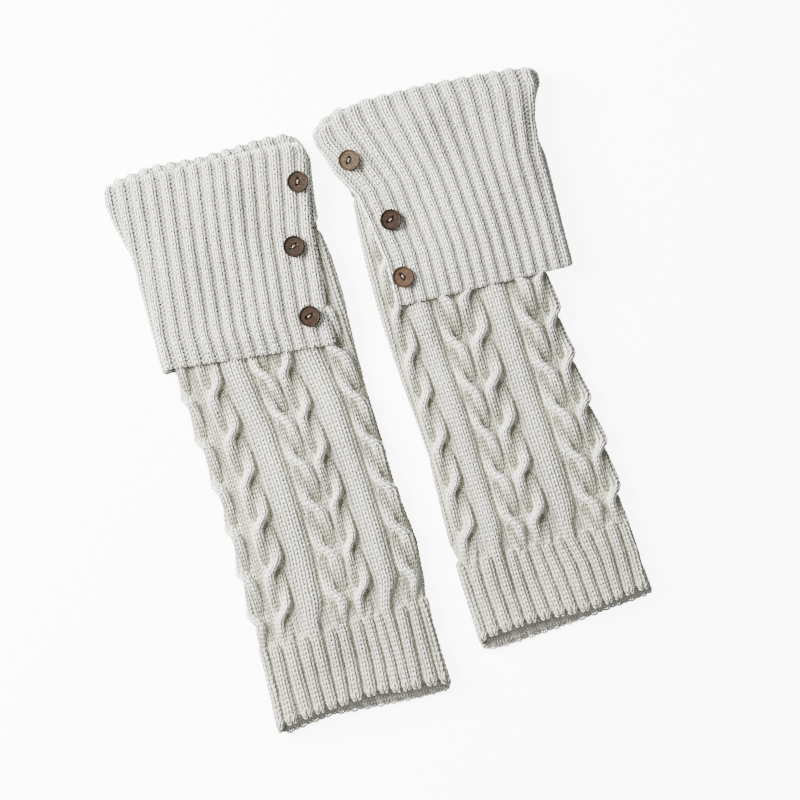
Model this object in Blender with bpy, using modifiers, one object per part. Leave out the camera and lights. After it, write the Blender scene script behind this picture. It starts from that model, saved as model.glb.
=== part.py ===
"""Pair of cable-knit leg warmers with buttoned fold-over cuffs, laid flat.

Each leg warmer is a knitted tube pressed flat: one wall that runs over the front,
round a side, under the back and round the other side.  Its cuff is a ribbed band
that is seamed to the leg's top edge, turns over at the fold and hangs down outside
the leg, split on the button side.  Three buttons sit on the cuff beside the split.

Lengths in the tables are millimetres in the leg warmer's own frame: x across it,
y towards the cuff, z up.  Meshes are in metres.
"""

import math
from dataclasses import dataclass

import bmesh
import bpy
import numpy as np

MM = 0.001

# Layers, bottom to top
WALL = 3.0            # knitted cloth, without its raised ribs and cables
PIECE_GAP = 0.3       # clear space between two pieces that touch
TUBE_GAP = 0.8        # between the leg's back and front
MOUTH_GAP = 3.0       # the same at the hem, where the tube stands open a little
COVER_GAP = 0.7       # between the leg's front and the cuff on it
LINING_SIDE_GAP = 0.9 # how much further in the cuff's inner layer lies at the sides
RIM_DEPTH = 1.0       # how far the hems' rims keep the outer face's columns
LEG_HEIGHT = 2 * WALL + TUBE_GAP
LEG_LIFT = WALL + PIECE_GAP
LEG_TOP_UNDER_CUFF = LEG_LIFT + LEG_HEIGHT
CUFF_HEIGHT = LEG_TOP_UNDER_CUFF + COVER_GAP + WALL

# Relief of the knitting
CABLE_RISE = 2.2
CABLE_OVER = 0.8      # how much more the strand rises that passes over
CABLE_UNDER = 1.0     # how much lower the strand lies that passes under
CABLE_PERIOD = 32.7   # from one crossing to the next
CABLE_CROSSING = 15.0 # length in which two strands change sides
CABLE_STRAND = 0.54   # half width of a strand, as a share of half the cable
COLUMN_RISE = 1.6
HEM_RIB_RISE = 1.7
CUFF_RIB_RISE = 1.8
LEG_SIDE_RISE = 2.0   # relief that the leg's outline in the tables includes
CUFF_SIDE_RISE = 1.3
LEAN = -0.044         # the cable pattern shifts across by this much for each mm up
HEM_END_RISE = 0.5    # share of the ribs' rise that is left at a hem's rim
HEM_ROUNDING = 6.0    # length in which the leg's ribs reach their full rise
FADE_FROM = -0.85     # the relief starts where the cloth's outward z is above this
FADE_TO = -0.25       # and is full above this
COVER_CLEAR = 4.5     # the leg's relief stays this far from where the cuff lies on it
COVER_FADE = 5.0      # length in which it then rises
SPLIT_TOP_CLEAR = 8.0 # the relief in the split ends this far below the split's top

# Lengths along the leg warmer
HEM_RIB_TOP = -142.0
RIB_CHANGE = 8.0      # in which the hem's ribs turn into the cable pattern
HEM_RIBS = 14
HEM_RIB_LEVEL = -180.0 # where the ribs' pitch is measured
HEM_RIB_OVERRUN = 4.0 # how far the last rib reaches round the side there
HEM_SLANT_LENGTH = 50.0 # in which the rows turn from the slanting hem to level
MOUTH_LENGTH = 26.0
LIFT_LENGTH = 28.0    # in which the leg rises onto the cuff's back layer
LIFT_CLEARANCE = 4.0  # the leg is up this far below the cuff's back hem
BLEND_TO_FOLD = 150.0 # above this the leg widens to meet the cuff's inner layer
SEAM = 2.0            # stands for the seam where a share of the cuff's length is given
FOLD_ROUNDING = 3.6

# Mesh density
ROW_STEP = 6.0
COVERED_ROW_STEP = 13.0
HEM_ROWS = (0.0, 2.0, 8.0, 22.0, 40.0)
LIFT_BENDS = (-4.0, 6.0, 16.0)
LEG_BACK_COLUMNS = 5
CUFF_BACK_COLUMNS = 8
CUFF_INNER_COLUMNS = 26
SPLIT_CLOSING = 0.10  # share of the cuff in which the split's back edge comes round
SPLIT_BACK_TURN = -1.9 # where that edge lies at the hem, in turns of the section
CUFF_HALF_WIDTH = 70.0
CUFF_RIBS = 16
CUFF_RIB_TOP = 0.24   # half width of a rib's top, in ribs
CUFF_LOW_ROWS = [0.0, 0.03, 0.16, 0.32]
CUFF_TOP_ROWS = [0.77, 0.88, 1.0]
CUFF_INNER_TOP_ROWS = [0.80, 0.90, 0.95, 1.0]
FOLD_ANGLES = (25.0, 55.0, 90.0, 130.0, 180.0)

# Buttons
BUTTON_DIAMETER = 15.0
BUTTON_THICKNESS = 2.6
BUTTON_RIM = 1.6
BUTTON_DISH = 0.5
BUTTON_EDGE = 0.6
BUTTON_HOLE = 1.9
BUTTON_HOLE_SPACING = 3.6
BUTTON_SEGMENTS = 16
BUTTON_HOLE_SEGMENTS = 6
WELD_DISTANCE = 0.05

YARN_COLOUR = (0.70, 0.67, 0.60, 1.0)
WOOD_COLOUR = (0.085, 0.050, 0.034, 1.0)


@dataclass(frozen=True)
class LegWarmer:
    """The sizes in which the two leg warmers differ.

    button_side is +1 where the cuff's split is at +x and -1 where it is at -x.
    Across values in the cuff's tables count from the middle towards that side.
    """

    name: str
    place: tuple
    turn: float
    button_side: int
    leg_outline: list
    cuff_outline: list
    hem_line: list
    cuff_hem: tuple
    cuff_back_hem: float
    split_top: float
    fold_line: list
    seam_line: tuple
    pattern: list
    pattern_level: float
    first_crossing: float
    hem_rib_start: float
    cuff_ribs: list
    first_cuff_rib: float
    buttons: list


LEFT = LegWarmer(
    name="left",
    place=(-81.4, 2.9),
    turn=1.25,
    button_side=1,
    # y, left edge, right edge
    leg_outline=[
        (-212, -70.0, 59.0), (-190, -67.9, 58.8), (-161, -64.8, 58.8), (-133, -63.3, 63.3),
        (-105, -62.3, 65.8), (-63, -59.5, 64.0), (-35, -59.0, 64.0), (21, -61.5, 64.0),
        (49, -61.2, 65.0), (77, -62.5, 67.0), (105, -62.5, 67.0), (119, -62.5, 65.8),
        (127, -62.0, 63.6), (150, -62.0, 62.5), (200, -62.0, 62.5),
    ],
    # y, far edge, button edge
    cuff_outline=[
        (40, 70.0, 67.5), (63, 69.6, 67.5), (105, 67.5, 67.5), (133, 66.4, 67.2),
        (147, 67.2, 69.0), (161, 69.0, 71.6), (175, 72.0, 74.5), (185, 73.5, 73.0), (202, 71.0, 66.0),
    ],
    # x, front hem, back hem
    hem_line=[(-70, -198.0, -204.0), (-28, -197.0, -203.5), (10, -200.5, -208.0), (60, -204.0, -210.5)],
    cuff_hem=(52.0, -0.155),
    cuff_back_hem=50.0,
    split_top=135.0,
    # across, front fold, back fold
    fold_line=[
        (-74, 193.5, 195.0), (-60, 196.0, 200.0), (-35, 195.0, 202.0), (0, 192.0, 197.5),
        (45, 188.5, 197.0), (62, 186.0, 195.0), (75, 180.0, 187.0),
    ],
    seam_line=(178.0, -0.08),
    # kind, from, to
    pattern=[
        ("cable_falling", -68.5, -52.5), ("plain", -52.5, -45.5), ("cable_rising", -45.5, -29.0),
        ("column", -29.0, -8.0), ("cable_falling", -8.0, 11.0), ("cable_rising", 11.0, 28.0),
        ("column", 28.0, 46.0), ("cable_falling", 46.0, 63.0),
    ],
    pattern_level=-56.0,
    first_crossing=38.5,
    hem_rib_start=-69.0,
    # y, front edge, rib pitch
    cuff_ribs=[(40, 52.5, 9.45), (75, 53.5, 9.45), (133, 62.0, 9.45), (189, 76.7, 10.05)],
    first_cuff_rib=0.5,
    # across, y, turn of the holes
    buttons=[(61.3, 158.9, 65.0), (45.2, 116.9, 24.0), (41.0, 67.2, 15.0)],
)

RIGHT = LegWarmer(
    name="right",
    place=(72.0, 16.5),
    turn=-1.25,
    button_side=-1,
    leg_outline=[
        (-208, -60.5, 67.0), (-189, -60.2, 66.1), (-133, -61.9, 64.4), (-91, -60.9, 64.3),
        (-63, -60.5, 61.6), (-35, -62.3, 59.0), (-7, -64.8, 56.8), (35, -66.8, 55.6),
        (49, -67.2, 56.0), (77, -67.2, 58.0), (105, -66.1, 60.0), (119, -65.3, 61.0),
        (127, -63.5, 61.5), (150, -62.5, 63.0), (200, -62.5, 63.0),
    ],
    cuff_outline=[
        (30, 73.0, 67.2), (63, 73.0, 67.2), (119, 73.8, 66.8), (133, 72.8, 68.0),
        (147, 73.5, 74.0), (161, 78.5, 76.6), (173, 83.3, 80.6), (181, 83.0, 80.5), (195, 78.0, 74.0),
    ],
    hem_line=[(-62, -201.0, -204.5), (-45, -200.0, -206.5), (0, -198.0, -204.0), (65, -194.0, -198.0)],
    cuff_hem=(41.5, 0.03),
    cuff_back_hem=41.0,
    split_top=136.0,
    fold_line=[
        (-84, 177.5, 178.5), (-68, 182.5, 183.0), (-40, 185.0, 185.0), (0, 188.0, 188.0),
        (40, 188.0, 189.5), (60, 184.0, 188.5), (80, 172.0, 180.0),
    ],
    seam_line=(166.0, 0.0),
    pattern=[
        ("plain", -68.0, -61.0), ("cable_rising", -61.0, -43.4), ("column", -43.4, -27.6),
        ("cable_falling", -27.6, -11.6), ("cable_rising", -11.6, 6.3), ("column", 6.3, 25.5),
        ("cable_falling", 25.5, 43.0), ("cable_rising", 43.0, 60.5),
    ],
    pattern_level=-28.0,
    first_crossing=41.2,
    hem_rib_start=-62.0,
    cuff_ribs=[
        (40, 53.9, 8.75), (75, 53.6, 8.75), (126, 60.8, 9.24), (175, 82.3, 11.34), (190, 84.0, 11.34),
    ],
    first_cuff_rib=1.0,
    buttons=[(60.5, 149.8, 57.0), (43.1, 102.2, 24.0), (45.2, 61.6, 110.0)],
)


def column_of(table, key, column):
    """Value of one column of a table, read between its rows at key."""
    rows = np.array([[float(value) for value in row] for row in table])
    return np.interp(key, rows[:, 0], rows[:, column])


def smooth(value):
    """Ease from 0 to 1 as value goes from 0 to 1."""
    held = np.clip(value, 0.0, 1.0)
    return held * held * (3.0 - 2.0 * held)


def band_point(turn, left, right, bottom, top):
    """Point and outward direction on a flat band's section.

    turn counts 0 to 1 over the front from left to right, 1 to 2 round the right
    side, 2 to 3 over the back and 3 to 4 round the left side.
    """
    turn = np.mod(turn, 4.0)
    radius = (top - bottom) / 2.0
    flat = right - left - 2.0 * radius
    middle = (top + bottom) / 2.0
    right_angle = math.pi * (1.5 - turn)
    left_angle = math.pi * (2.5 - turn)
    quarter = [turn < 1.0, turn < 2.0, turn < 3.0]
    x = np.select(
        quarter,
        [left + radius + turn * flat,
         right - radius + radius * np.cos(right_angle),
         right - radius - (turn - 2.0) * flat],
        left + radius + radius * np.cos(left_angle),
    )
    z = np.select(
        quarter,
        [top + 0.0 * turn, middle + radius * np.sin(right_angle), bottom + 0.0 * turn],
        middle + radius * np.sin(left_angle),
    )
    out_x = np.select(quarter, [0.0 * turn, np.cos(right_angle), 0.0 * turn], np.cos(left_angle))
    out_z = np.select(quarter, [1.0 + 0.0 * turn, np.sin(right_angle), -1.0 + 0.0 * turn],
                      np.sin(left_angle))
    return x, z, out_x, out_z


def turn_at(across, left, right, bottom, top):
    """Turn of a place given by its distance along the cloth.

    On the front the distance is x.  Past either edge of the front it is counted on
    round the side and under the back.  The result may be below 0 on the left.
    """
    radius = (top - bottom) / 2.0
    flat = right - left - 2.0 * radius
    side = math.pi * radius
    past_right = across - (right - radius)
    past_left = (left + radius) - across
    return np.select(
        [past_left > side, past_left > 0.0, past_right <= 0.0, past_right <= side],
        [-1.0 - (past_left - side) / flat, -past_left / side,
         (across - left - radius) / flat, 1.0 + past_right / side],
        2.0 + (past_right - side) / flat,
    )


def backness(turn):
    """0 on the front, 1 on the back and a smooth change round the sides."""
    turn = np.mod(turn, 4.0)
    return np.select([turn < 1.0, turn < 2.0, turn < 3.0],
                     [0.0 * turn, smooth(turn - 1.0), 1.0 + 0.0 * turn], smooth(4.0 - turn))


def underside_fade(out_z):
    """1 where the cloth looks up or sideways and 0 where it lies on the floor."""
    return smooth((out_z - FADE_FROM) / (FADE_TO - FADE_FROM))


class Wall:
    """Collects the points and faces of one closed cloth wall."""

    def __init__(self):
        self.points = []
        self.faces = []

    def add_row(self, x, y, z):
        """Add a row of points and return their numbers."""
        start = len(self.points)
        self.points.extend(zip(x, y, z))
        return list(range(start, len(self.points)))

    def skin(self, rows):
        """Join rows of equal length, each to the next."""
        for low, high in zip(rows, rows[1:]):
            for near, far, near_high, far_high in zip(low, low[1:], high, high[1:]):
                corners = [near, far, far_high, near_high]
                self.faces.append(list(dict.fromkeys(corners)))

    def zip_rows(self, row_a, place_a, row_b, place_b):
        """Join two rows that run side by side but have unequal numbers of points."""
        a = 0
        b = 0
        while a < len(row_a) - 1 or b < len(row_b) - 1:
            next_a = place_a[a + 1] if a < len(row_a) - 1 else math.inf
            next_b = place_b[b + 1] if b < len(row_b) - 1 else math.inf
            if next_a <= next_b:
                self.faces.append([row_a[a], row_a[a + 1], row_b[b]])
                a += 1
            else:
                self.faces.append([row_a[a], row_b[b + 1], row_b[b]])
                b += 1

    def make_object(self, name, material, collection, warmer):
        """Turn the collected wall into a placed object whose faces look outwards."""
        mesh = bpy.data.meshes.new(name)
        mesh.from_pydata([tuple(value * MM for value in point) for point in self.points], [], self.faces)
        builder = bmesh.new()
        builder.from_mesh(mesh)
        bmesh.ops.triangulate(builder, faces=builder.faces)
        bmesh.ops.recalc_face_normals(builder, faces=builder.faces)
        if builder.calc_volume(signed=True) < 0.0:
            bmesh.ops.reverse_faces(builder, faces=builder.faces)
        builder.to_mesh(mesh)
        builder.free()
        mesh.shade_smooth()
        mesh.materials.append(material)
        piece = bpy.data.objects.new(name, mesh)
        collection.objects.link(piece)
        place(piece, warmer)
        return piece


def place(piece, warmer, offset=(0.0, 0.0, 0.0)):
    """Move a piece from the leg warmer's own frame to where it lies."""
    angle = math.radians(warmer.turn)
    across = offset[0] * math.cos(angle) - offset[1] * math.sin(angle)
    along = offset[0] * math.sin(angle) + offset[1] * math.cos(angle)
    piece.location = ((warmer.place[0] + across) * MM, (warmer.place[1] + along) * MM, offset[2] * MM)
    piece.rotation_euler = (0.0, 0.0, angle)


def cuff_edges(warmer, share):
    """Left and right edge of a cuff section's outer face, without its ribs.

    The section stands at a share of the way from the cuff's hem to its fold.  A
    share of SEAM is the seam.  Each edge is read where the slanting section meets it.
    """
    side = warmer.button_side
    far_y = cuff_station(warmer, share, 0.0, -side * CUFF_HALF_WIDTH, 0.5)
    near_y = cuff_station(warmer, share, 0.0, side * CUFF_HALF_WIDTH, 0.5)
    far = column_of(warmer.cuff_outline, far_y, 1) - CUFF_SIDE_RISE
    near = column_of(warmer.cuff_outline, near_y, 2) - CUFF_SIDE_RISE
    return (-far, near) if side > 0 else (-near, far)


def fold_height(warmer, x, back):
    """Where the cuff's top fold lies along y, from its front line to its back line."""
    across = warmer.button_side * x
    front_line = column_of(warmer.fold_line, across, 1)
    back_line = column_of(warmer.fold_line, across, 2)
    return front_line + (back_line - front_line) * back


def seam_height(warmer, x):
    """Where the seam of leg and cuff lies along y: a straight line across."""
    return warmer.seam_line[0] + warmer.seam_line[1] * x


def leg_edges(warmer, y):
    """Left and right edge of the leg's outer face, without its relief."""
    left = column_of(warmer.leg_outline, y, 1) + LEG_SIDE_RISE
    right = column_of(warmer.leg_outline, y, 2) - LEG_SIDE_RISE
    share = np.clip((y - BLEND_TO_FOLD) / (warmer.seam_line[0] - BLEND_TO_FOLD), 0.0, 1.0)
    cuff_left, cuff_right = cuff_edges(warmer, SEAM)
    inset = WALL + COVER_GAP + LINING_SIDE_GAP
    return (left + (cuff_left + inset - left) * share, right + (cuff_right - inset - right) * share)


def leg_layers(warmer, y):
    """Height of the leg's underside and of its front, without its relief."""
    lift = LEG_LIFT * smooth((y - warmer.cuff_back_hem + LIFT_CLEARANCE) / LIFT_LENGTH + 1.0)
    hem = column_of(warmer.hem_line, 0.0, 1)
    open_share = smooth(1.0 - (y - hem) / MOUTH_LENGTH)
    return lift, lift + LEG_HEIGHT + (MOUTH_GAP - TUBE_GAP) * open_share


def cable_relief(across, y, crossing, falling):
    """Height of a two-strand cable.

    across runs from -1 to 1 over the cable.  At each crossing the strands change
    sides along a sine, one rising over the other.  A falling cable's upper strand
    runs down to the right, a rising one's runs down to the left.
    """
    nearest = crossing - CABLE_PERIOD * np.round((crossing - y) / CABLE_PERIOD)
    share = np.clip((y - nearest) / CABLE_CROSSING, -0.5, 0.5)
    swing = 0.5 * np.sin(math.pi * share) * (-1.0 if falling else 1.0)
    lift = np.cos(math.pi * share) ** 2
    over = np.sqrt(np.clip(1.0 - ((across - swing) / CABLE_STRAND) ** 2, 0.0, 1.0))
    under = np.sqrt(np.clip(1.0 - ((across + swing) / CABLE_STRAND) ** 2, 0.0, 1.0))
    return np.maximum(over * (CABLE_RISE + CABLE_OVER * lift), under * (CABLE_RISE - CABLE_UNDER * lift))


def pattern_columns(warmer):
    """Places of the mesh columns over the cable pattern, at the pattern's level."""
    shares = {"column": (0.0, 0.2, 0.5, 0.8), "plain": (0.0,)}
    cable = (0.0, 0.17, 0.34, 0.5, 0.66, 0.83)
    places = []
    for kind, start, end in warmer.pattern:
        places.extend(start + (end - start) * share for share in shares.get(kind, cable))
    places.append(warmer.pattern[-1][2])
    return np.array(places)


def rib_columns(warmer, count):
    """Places of the same mesh columns over the hem's ribs: valley, ridge, ridge."""
    start = warmer.hem_rib_start
    last = column_of(warmer.leg_outline, HEM_RIB_LEVEL, 2) + HEM_RIB_OVERRUN
    pitch = (last - start) / HEM_RIBS
    steps = np.array([rib + part for rib in range(HEM_RIBS) for part in (0.0, 0.3, 0.7)])
    along = np.interp(np.linspace(0.0, 1.0, count), np.linspace(0.0, 1.0, len(steps)), steps)
    return start + pitch * along, np.where(np.mod(along, 1.0) > 0.15, HEM_RIB_RISE, 0.0)


def pattern_relief(warmer, places, y):
    """Relief of the cable pattern at places given at the pattern's level."""
    relief = np.zeros_like(places)
    for kind, start, end in warmer.pattern:
        inside = (places > start) & (places < end)
        across = (2.0 * places - start - end) / (end - start)
        if kind == "column":
            relief = np.where(inside, COLUMN_RISE * (1.0 - across ** 4), relief)
        elif kind != "plain":
            height = cable_relief(across, y, warmer.first_crossing, kind == "cable_falling")
            relief = np.where(inside, height, relief)
    return relief


def split_place(warmer, y):
    """How far the cuff's front edge beside the split lies from the middle."""
    return column_of(warmer.cuff_ribs, y, 1)


def uncovered(warmer, x, y):
    """1 where the leg shows and 0 where the cuff lies on it or is close by."""
    across = warmer.button_side * x
    below_hem = warmer.cuff_hem[0] + warmer.cuff_hem[1] * across - y
    below_top = warmer.split_top - SPLIT_TOP_CLEAR - y
    beside_split = np.minimum(across - split_place(warmer, y), below_top)
    return np.clip((np.maximum(below_hem, beside_split) - COVER_CLEAR) / COVER_FADE, 0.0, 1.0)


def leg_rows(warmer):
    """Places along y of the leg's rows, below the slanting top rows."""
    hem = float(column_of(warmer.hem_line, 0.0, 1))
    rows = [hem + part for part in HEM_ROWS] + [HEM_RIB_TOP, HEM_RIB_TOP + RIB_CHANGE]
    highest_hem = warmer.cuff_hem[0] + abs(warmer.cuff_hem[1]) * CUFF_HALF_WIDTH
    while rows[-1] < highest_hem:
        rows.append(rows[-1] + ROW_STEP)
    while rows[-1] < BLEND_TO_FOLD - COVERED_ROW_STEP:
        rows.append(rows[-1] + COVERED_ROW_STEP)
    return rows + [BLEND_TO_FOLD]


def slant_y(warmer, x, y, turn):
    """Bend a level row to the slanting hem below and to the fold's line above."""
    back = backness(turn)
    hem_front = column_of(warmer.hem_line, x, 1)
    hem_back = column_of(warmer.hem_line, x, 2)
    level_hem = column_of(warmer.hem_line, 0.0, 1)
    hem = hem_front + (hem_back - hem_front) * back
    hem_share = np.clip(1.0 - (y - level_hem) / HEM_SLANT_LENGTH, 0.0, 1.0)
    level_seam = warmer.seam_line[0]
    seam_share = np.clip((y - BLEND_TO_FOLD) / (level_seam - BLEND_TO_FOLD), 0.0, 1.0)
    return y + (hem - level_hem) * hem_share + (seam_height(warmer, x) - level_seam) * seam_share


def make_leg(warmer, material, collection):
    """Build the leg: a patterned outer face over a plain inner face."""
    wall = Wall()
    seam = warmer.seam_line[0] - PIECE_GAP
    levels = leg_rows(warmer) + [(BLEND_TO_FOLD + seam) / 2.0, seam]
    pattern = pattern_columns(warmer)
    ribs, rib_rise = rib_columns(warmer, len(pattern))
    rows = []
    for level in levels:
        left, right = leg_edges(warmer, level)
        bottom, top = leg_layers(warmer, level)
        cable_share = smooth((level - HEM_RIB_TOP) / RIB_CHANGE)
        cable_places = pattern + LEAN * (level - warmer.pattern_level)
        places = ribs + (cable_places - ribs) * cable_share
        turns = turn_at(places, left, right, bottom, top)
        back_turns = np.linspace(turns[-1], turns[0] + 4.0, LEG_BACK_COLUMNS + 2)[1:-1]
        relief = rib_rise + (pattern_relief(warmer, pattern, level) - rib_rise) * cable_share
        end_rise = HEM_END_RISE + (1.0 - HEM_END_RISE) * smooth((level - levels[0]) / HEM_ROUNDING)
        relief = np.concatenate([relief * end_rise, np.zeros(LEG_BACK_COLUMNS)])
        turns = np.concatenate([turns, back_turns])
        x, z, out_x, out_z = band_point(turns, left, right, bottom, top)
        relief = relief * underside_fade(out_z) * uncovered(warmer, x, level)
        y = slant_y(warmer, x, level, turns)
        if not rows:
            row = wall.add_row(x - out_x * RIM_DEPTH, y, z - out_z * RIM_DEPTH)
            rows.append((row + row[:1], np.append(turns, turns[0] + 4.0)))
        row = wall.add_row(x + out_x * relief, y, z + out_z * relief)
        rows.append((row + row[:1], np.append(turns, turns[0] + 4.0)))
    wall.skin([row for row, _ in rows])

    inner_turns = np.array([0.0, 0.2, 0.4, 0.6, 0.8, 1.0, 1.5, 2.0, 2.2, 2.4, 2.6, 2.8, 3.0, 3.5])
    lift_start = warmer.cuff_back_hem - LIFT_LENGTH
    bends = [row[0] for row in warmer.leg_outline] + [lift_start + part for part in LIFT_BENDS]
    bends += [levels[0] + MOUTH_LENGTH * part for part in (0.4, 1.0)]
    inside = {y for y in bends if levels[0] + ROW_STEP < y < levels[-1] - ROW_STEP}
    inner_levels = [levels[0]] + sorted(inside)
    inner_rows = []
    for level in inner_levels + [levels[-1]]:
        left, right = leg_edges(warmer, level)
        bottom, top = leg_layers(warmer, level)
        x, z, _, _ = band_point(inner_turns, left + WALL, right - WALL, bottom + WALL, top - WALL)
        row = wall.add_row(x, slant_y(warmer, x, level, inner_turns), z)
        inner_rows.append(row + row[:1])
    wall.skin(inner_rows)
    for outer_end, inner_row in ((rows[0], inner_rows[0]), (rows[-1], inner_rows[-1])):
        close_ring(wall, outer_end, inner_row, inner_turns)
    return wall.make_object(f"leg_{warmer.name}", material, collection, warmer)


def close_ring(wall, outer_end, inner_ring, inner_turns):
    """Join an end ring of the outer face to the inner face's end ring."""
    outer_ring, outer_turns = outer_end
    start = outer_turns[0]
    shifted = np.mod(inner_turns - start, 4.0)
    order = np.argsort(shifted)
    ring = [inner_ring[index] for index in order]
    places = [shifted[index] for index in order]
    wall.zip_rows(outer_ring, list(outer_turns - start), ring + ring[:1], places + [places[0] + 4.0])


def cuff_station(warmer, share, lift, x, back):
    """Place along y of a cuff point: share 0 is its hem and 1 the start of its fold."""
    if share == SEAM:
        return seam_height(warmer, x)
    across = warmer.button_side * x
    front_hem = warmer.cuff_hem[0] + warmer.cuff_hem[1] * across
    hem = front_hem + (warmer.cuff_back_hem - front_hem) * back
    fold_start = fold_height(warmer, x, back) - FOLD_ROUNDING
    return hem + (fold_start - hem) * share + lift


def cuff_section(warmer, share, inset):
    """Edges and layers of a cuff section that lies inset from its outer face."""
    left, right = cuff_edges(warmer, share)
    to_lining = 2.0 * WALL + COVER_GAP
    back_inset = inset * (LEG_LIFT + WALL) / to_lining if inset > WALL else inset
    side_inset = inset + LINING_SIDE_GAP if inset > WALL else inset
    return left + side_inset, right - side_inset, back_inset, CUFF_HEIGHT - inset


def cuff_columns(warmer):
    """Columns of the cuff's outer face, counted in ribs from the split's front edge."""
    steps = [0.0]
    rises = [0.0]
    rib_centre = warmer.first_cuff_rib
    while rib_centre < CUFF_RIBS:
        for offset, rise in ((-0.5, 0.0), (-CUFF_RIB_TOP, 1.0), (CUFF_RIB_TOP, 1.0)):
            if rib_centre + offset > 0.1:
                steps.append(rib_centre + offset)
                rises.append(rise)
        rib_centre += 1.0
    return np.array(steps), np.array(rises)


def strip_turns(warmer, level, steps, share, split_share):
    """Turns of a strip's ribbed columns, and of the split's back edge.

    steps count ribs from the split's front edge.  The back edge lies under the leg
    at the hem, comes round the side below the split's top and meets the front edge
    there.
    """
    left, right, bottom, top = cuff_section(warmer, share, 0.0)
    side = warmer.button_side
    edge = split_place(warmer, level)
    pitch = column_of(warmer.cuff_ribs, level, 2)
    low, high = (left, right) if side > 0 else (-right, -left)
    turns = turn_at(edge - pitch * steps, low, high, bottom, top)
    front_turn = turn_at(np.array([edge]), low, high, bottom, top)[0]
    if share >= split_share:
        return turns, front_turn - 4.0
    narrowing = (share - split_share + SPLIT_CLOSING) / SPLIT_CLOSING
    if narrowing > 0.0:
        return turns, -2.0 + (front_turn - 2.0) * narrowing
    return turns, SPLIT_BACK_TURN - (2.0 + SPLIT_BACK_TURN) * share / split_share


def make_cuff(warmer, material, collection):
    """Build the cuff: outer layer, top fold and the inner layer down to the seam."""
    wall = Wall()
    side = warmer.button_side
    steps, rises = cuff_columns(warmer)
    hem_level = warmer.cuff_hem[0]
    fold_level = float(column_of(warmer.fold_line, 0.0, 1)) - FOLD_ROUNDING
    split_share = (warmer.split_top - hem_level) / (fold_level - hem_level)
    closing_rows = [split_share - SPLIT_CLOSING * part for part in (1.0, 0.75, 0.5, 0.25)]
    split_rows = CUFF_LOW_ROWS + closing_rows + [split_share]
    lining_inset = 2.0 * WALL + COVER_GAP

    def add_section(turns, share, inset, rise, lift):
        """Add one row of the strip, a share along the cuff and an inset from its face."""
        left, right, bottom, top = cuff_section(warmer, share, inset)
        low, high = (left, right) if side > 0 else (-right, -left)
        x, z, out_x, out_z = band_point(turns, low, high, bottom, top)
        relief = rise * underside_fade(out_z)
        y = cuff_station(warmer, share, lift, side * x, backness(turns))
        return wall.add_row(side * (x + out_x * relief), y, z + out_z * relief)

    def outer_turns(share):
        """Turns of the outer face's columns at a share along the cuff."""
        level = hem_level + (fold_level - hem_level) * share
        turns, back_turn = strip_turns(warmer, level, steps, share, split_share)
        return np.concatenate([turns, np.linspace(turns[-1], back_turn, CUFF_BACK_COLUMNS + 1)[1:]])

    def inner_turns(share):
        """Turns of the inner face's columns at a share along the cuff."""
        turns = outer_turns(share)
        corners = np.array([0.0, -0.5, -1.0])
        spread = np.linspace(turns[0], turns[-1], CUFF_INNER_COLUMNS - 2)
        nearest = [int(np.argmin(np.abs(spread[1:-1] - corner))) + 1 for corner in corners]
        spread[nearest] = corners
        return spread

    def close_strip(row, share):
        """Let the strip's last point be its first where the cuff is closed round."""
        return row[:-1] + row[:1] if share >= split_share else row

    rib_rise = np.concatenate([rises, np.zeros(CUFF_BACK_COLUMNS)]) * CUFF_RIB_RISE
    outer = []
    for share in split_rows + CUFF_TOP_ROWS:
        turns = outer_turns(share)
        rounding = HEM_END_RISE if share == 0.0 else 1.0
        if not outer:
            outer.append(add_section(turns, share, RIM_DEPTH, 0.0, 0.0))
        row = add_section(turns, share, 0.0, rib_rise * rounding, 0.0)
        outer.append(close_strip(row, share))
    fold_turns = outer_turns(1.0)
    for angle in FOLD_ANGLES:
        inset = lining_inset * (1.0 - math.cos(math.radians(angle))) / 2.0
        lift = FOLD_ROUNDING * math.sin(math.radians(angle))
        fade = (1.0 + math.cos(math.radians(angle))) / 2.0
        outer.append(close_strip(add_section(fold_turns, 1.0, inset, rib_rise * fade, lift), 1.0))
    outer.append(close_strip(add_section(fold_turns, SEAM, lining_inset, 0.0, 0.0), SEAM))
    wall.skin(outer)

    inner = []
    for share in split_rows + CUFF_INNER_TOP_ROWS:
        inner.append(close_strip(add_section(inner_turns(share), share, WALL, 0.0, 0.0), share))
    plain_turns = inner_turns(1.0)
    lining_outer = WALL + COVER_GAP
    for share, inset, lift in ((1.0, WALL + COVER_GAP / 2.0, 0.4), (1.0, lining_outer, 0.0),
                               (SEAM, lining_outer, 0.0)):
        inner.append(close_strip(add_section(plain_turns, share, inset, 0.0, lift), share))
    wall.skin(inner)

    wall.zip_rows(outer[0], list(-outer_turns(0.0)), inner[0], list(-inner_turns(0.0)))
    wall.zip_rows(outer[-1], list(-fold_turns), inner[-1], list(-plain_turns))
    split_count = len(split_rows)
    for end in (0, -1):
        outer_edge = [row[end] for row in outer[1:split_count + 1]]
        inner_edge = [row[end] for row in inner[:split_count]]
        wall.skin([outer_edge, inner_edge])
        wall.faces.append([outer[0][end], outer[1][end], inner[0][end]])
    return wall.make_object(f"cuff_{warmer.name}", material, collection, warmer)


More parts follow.
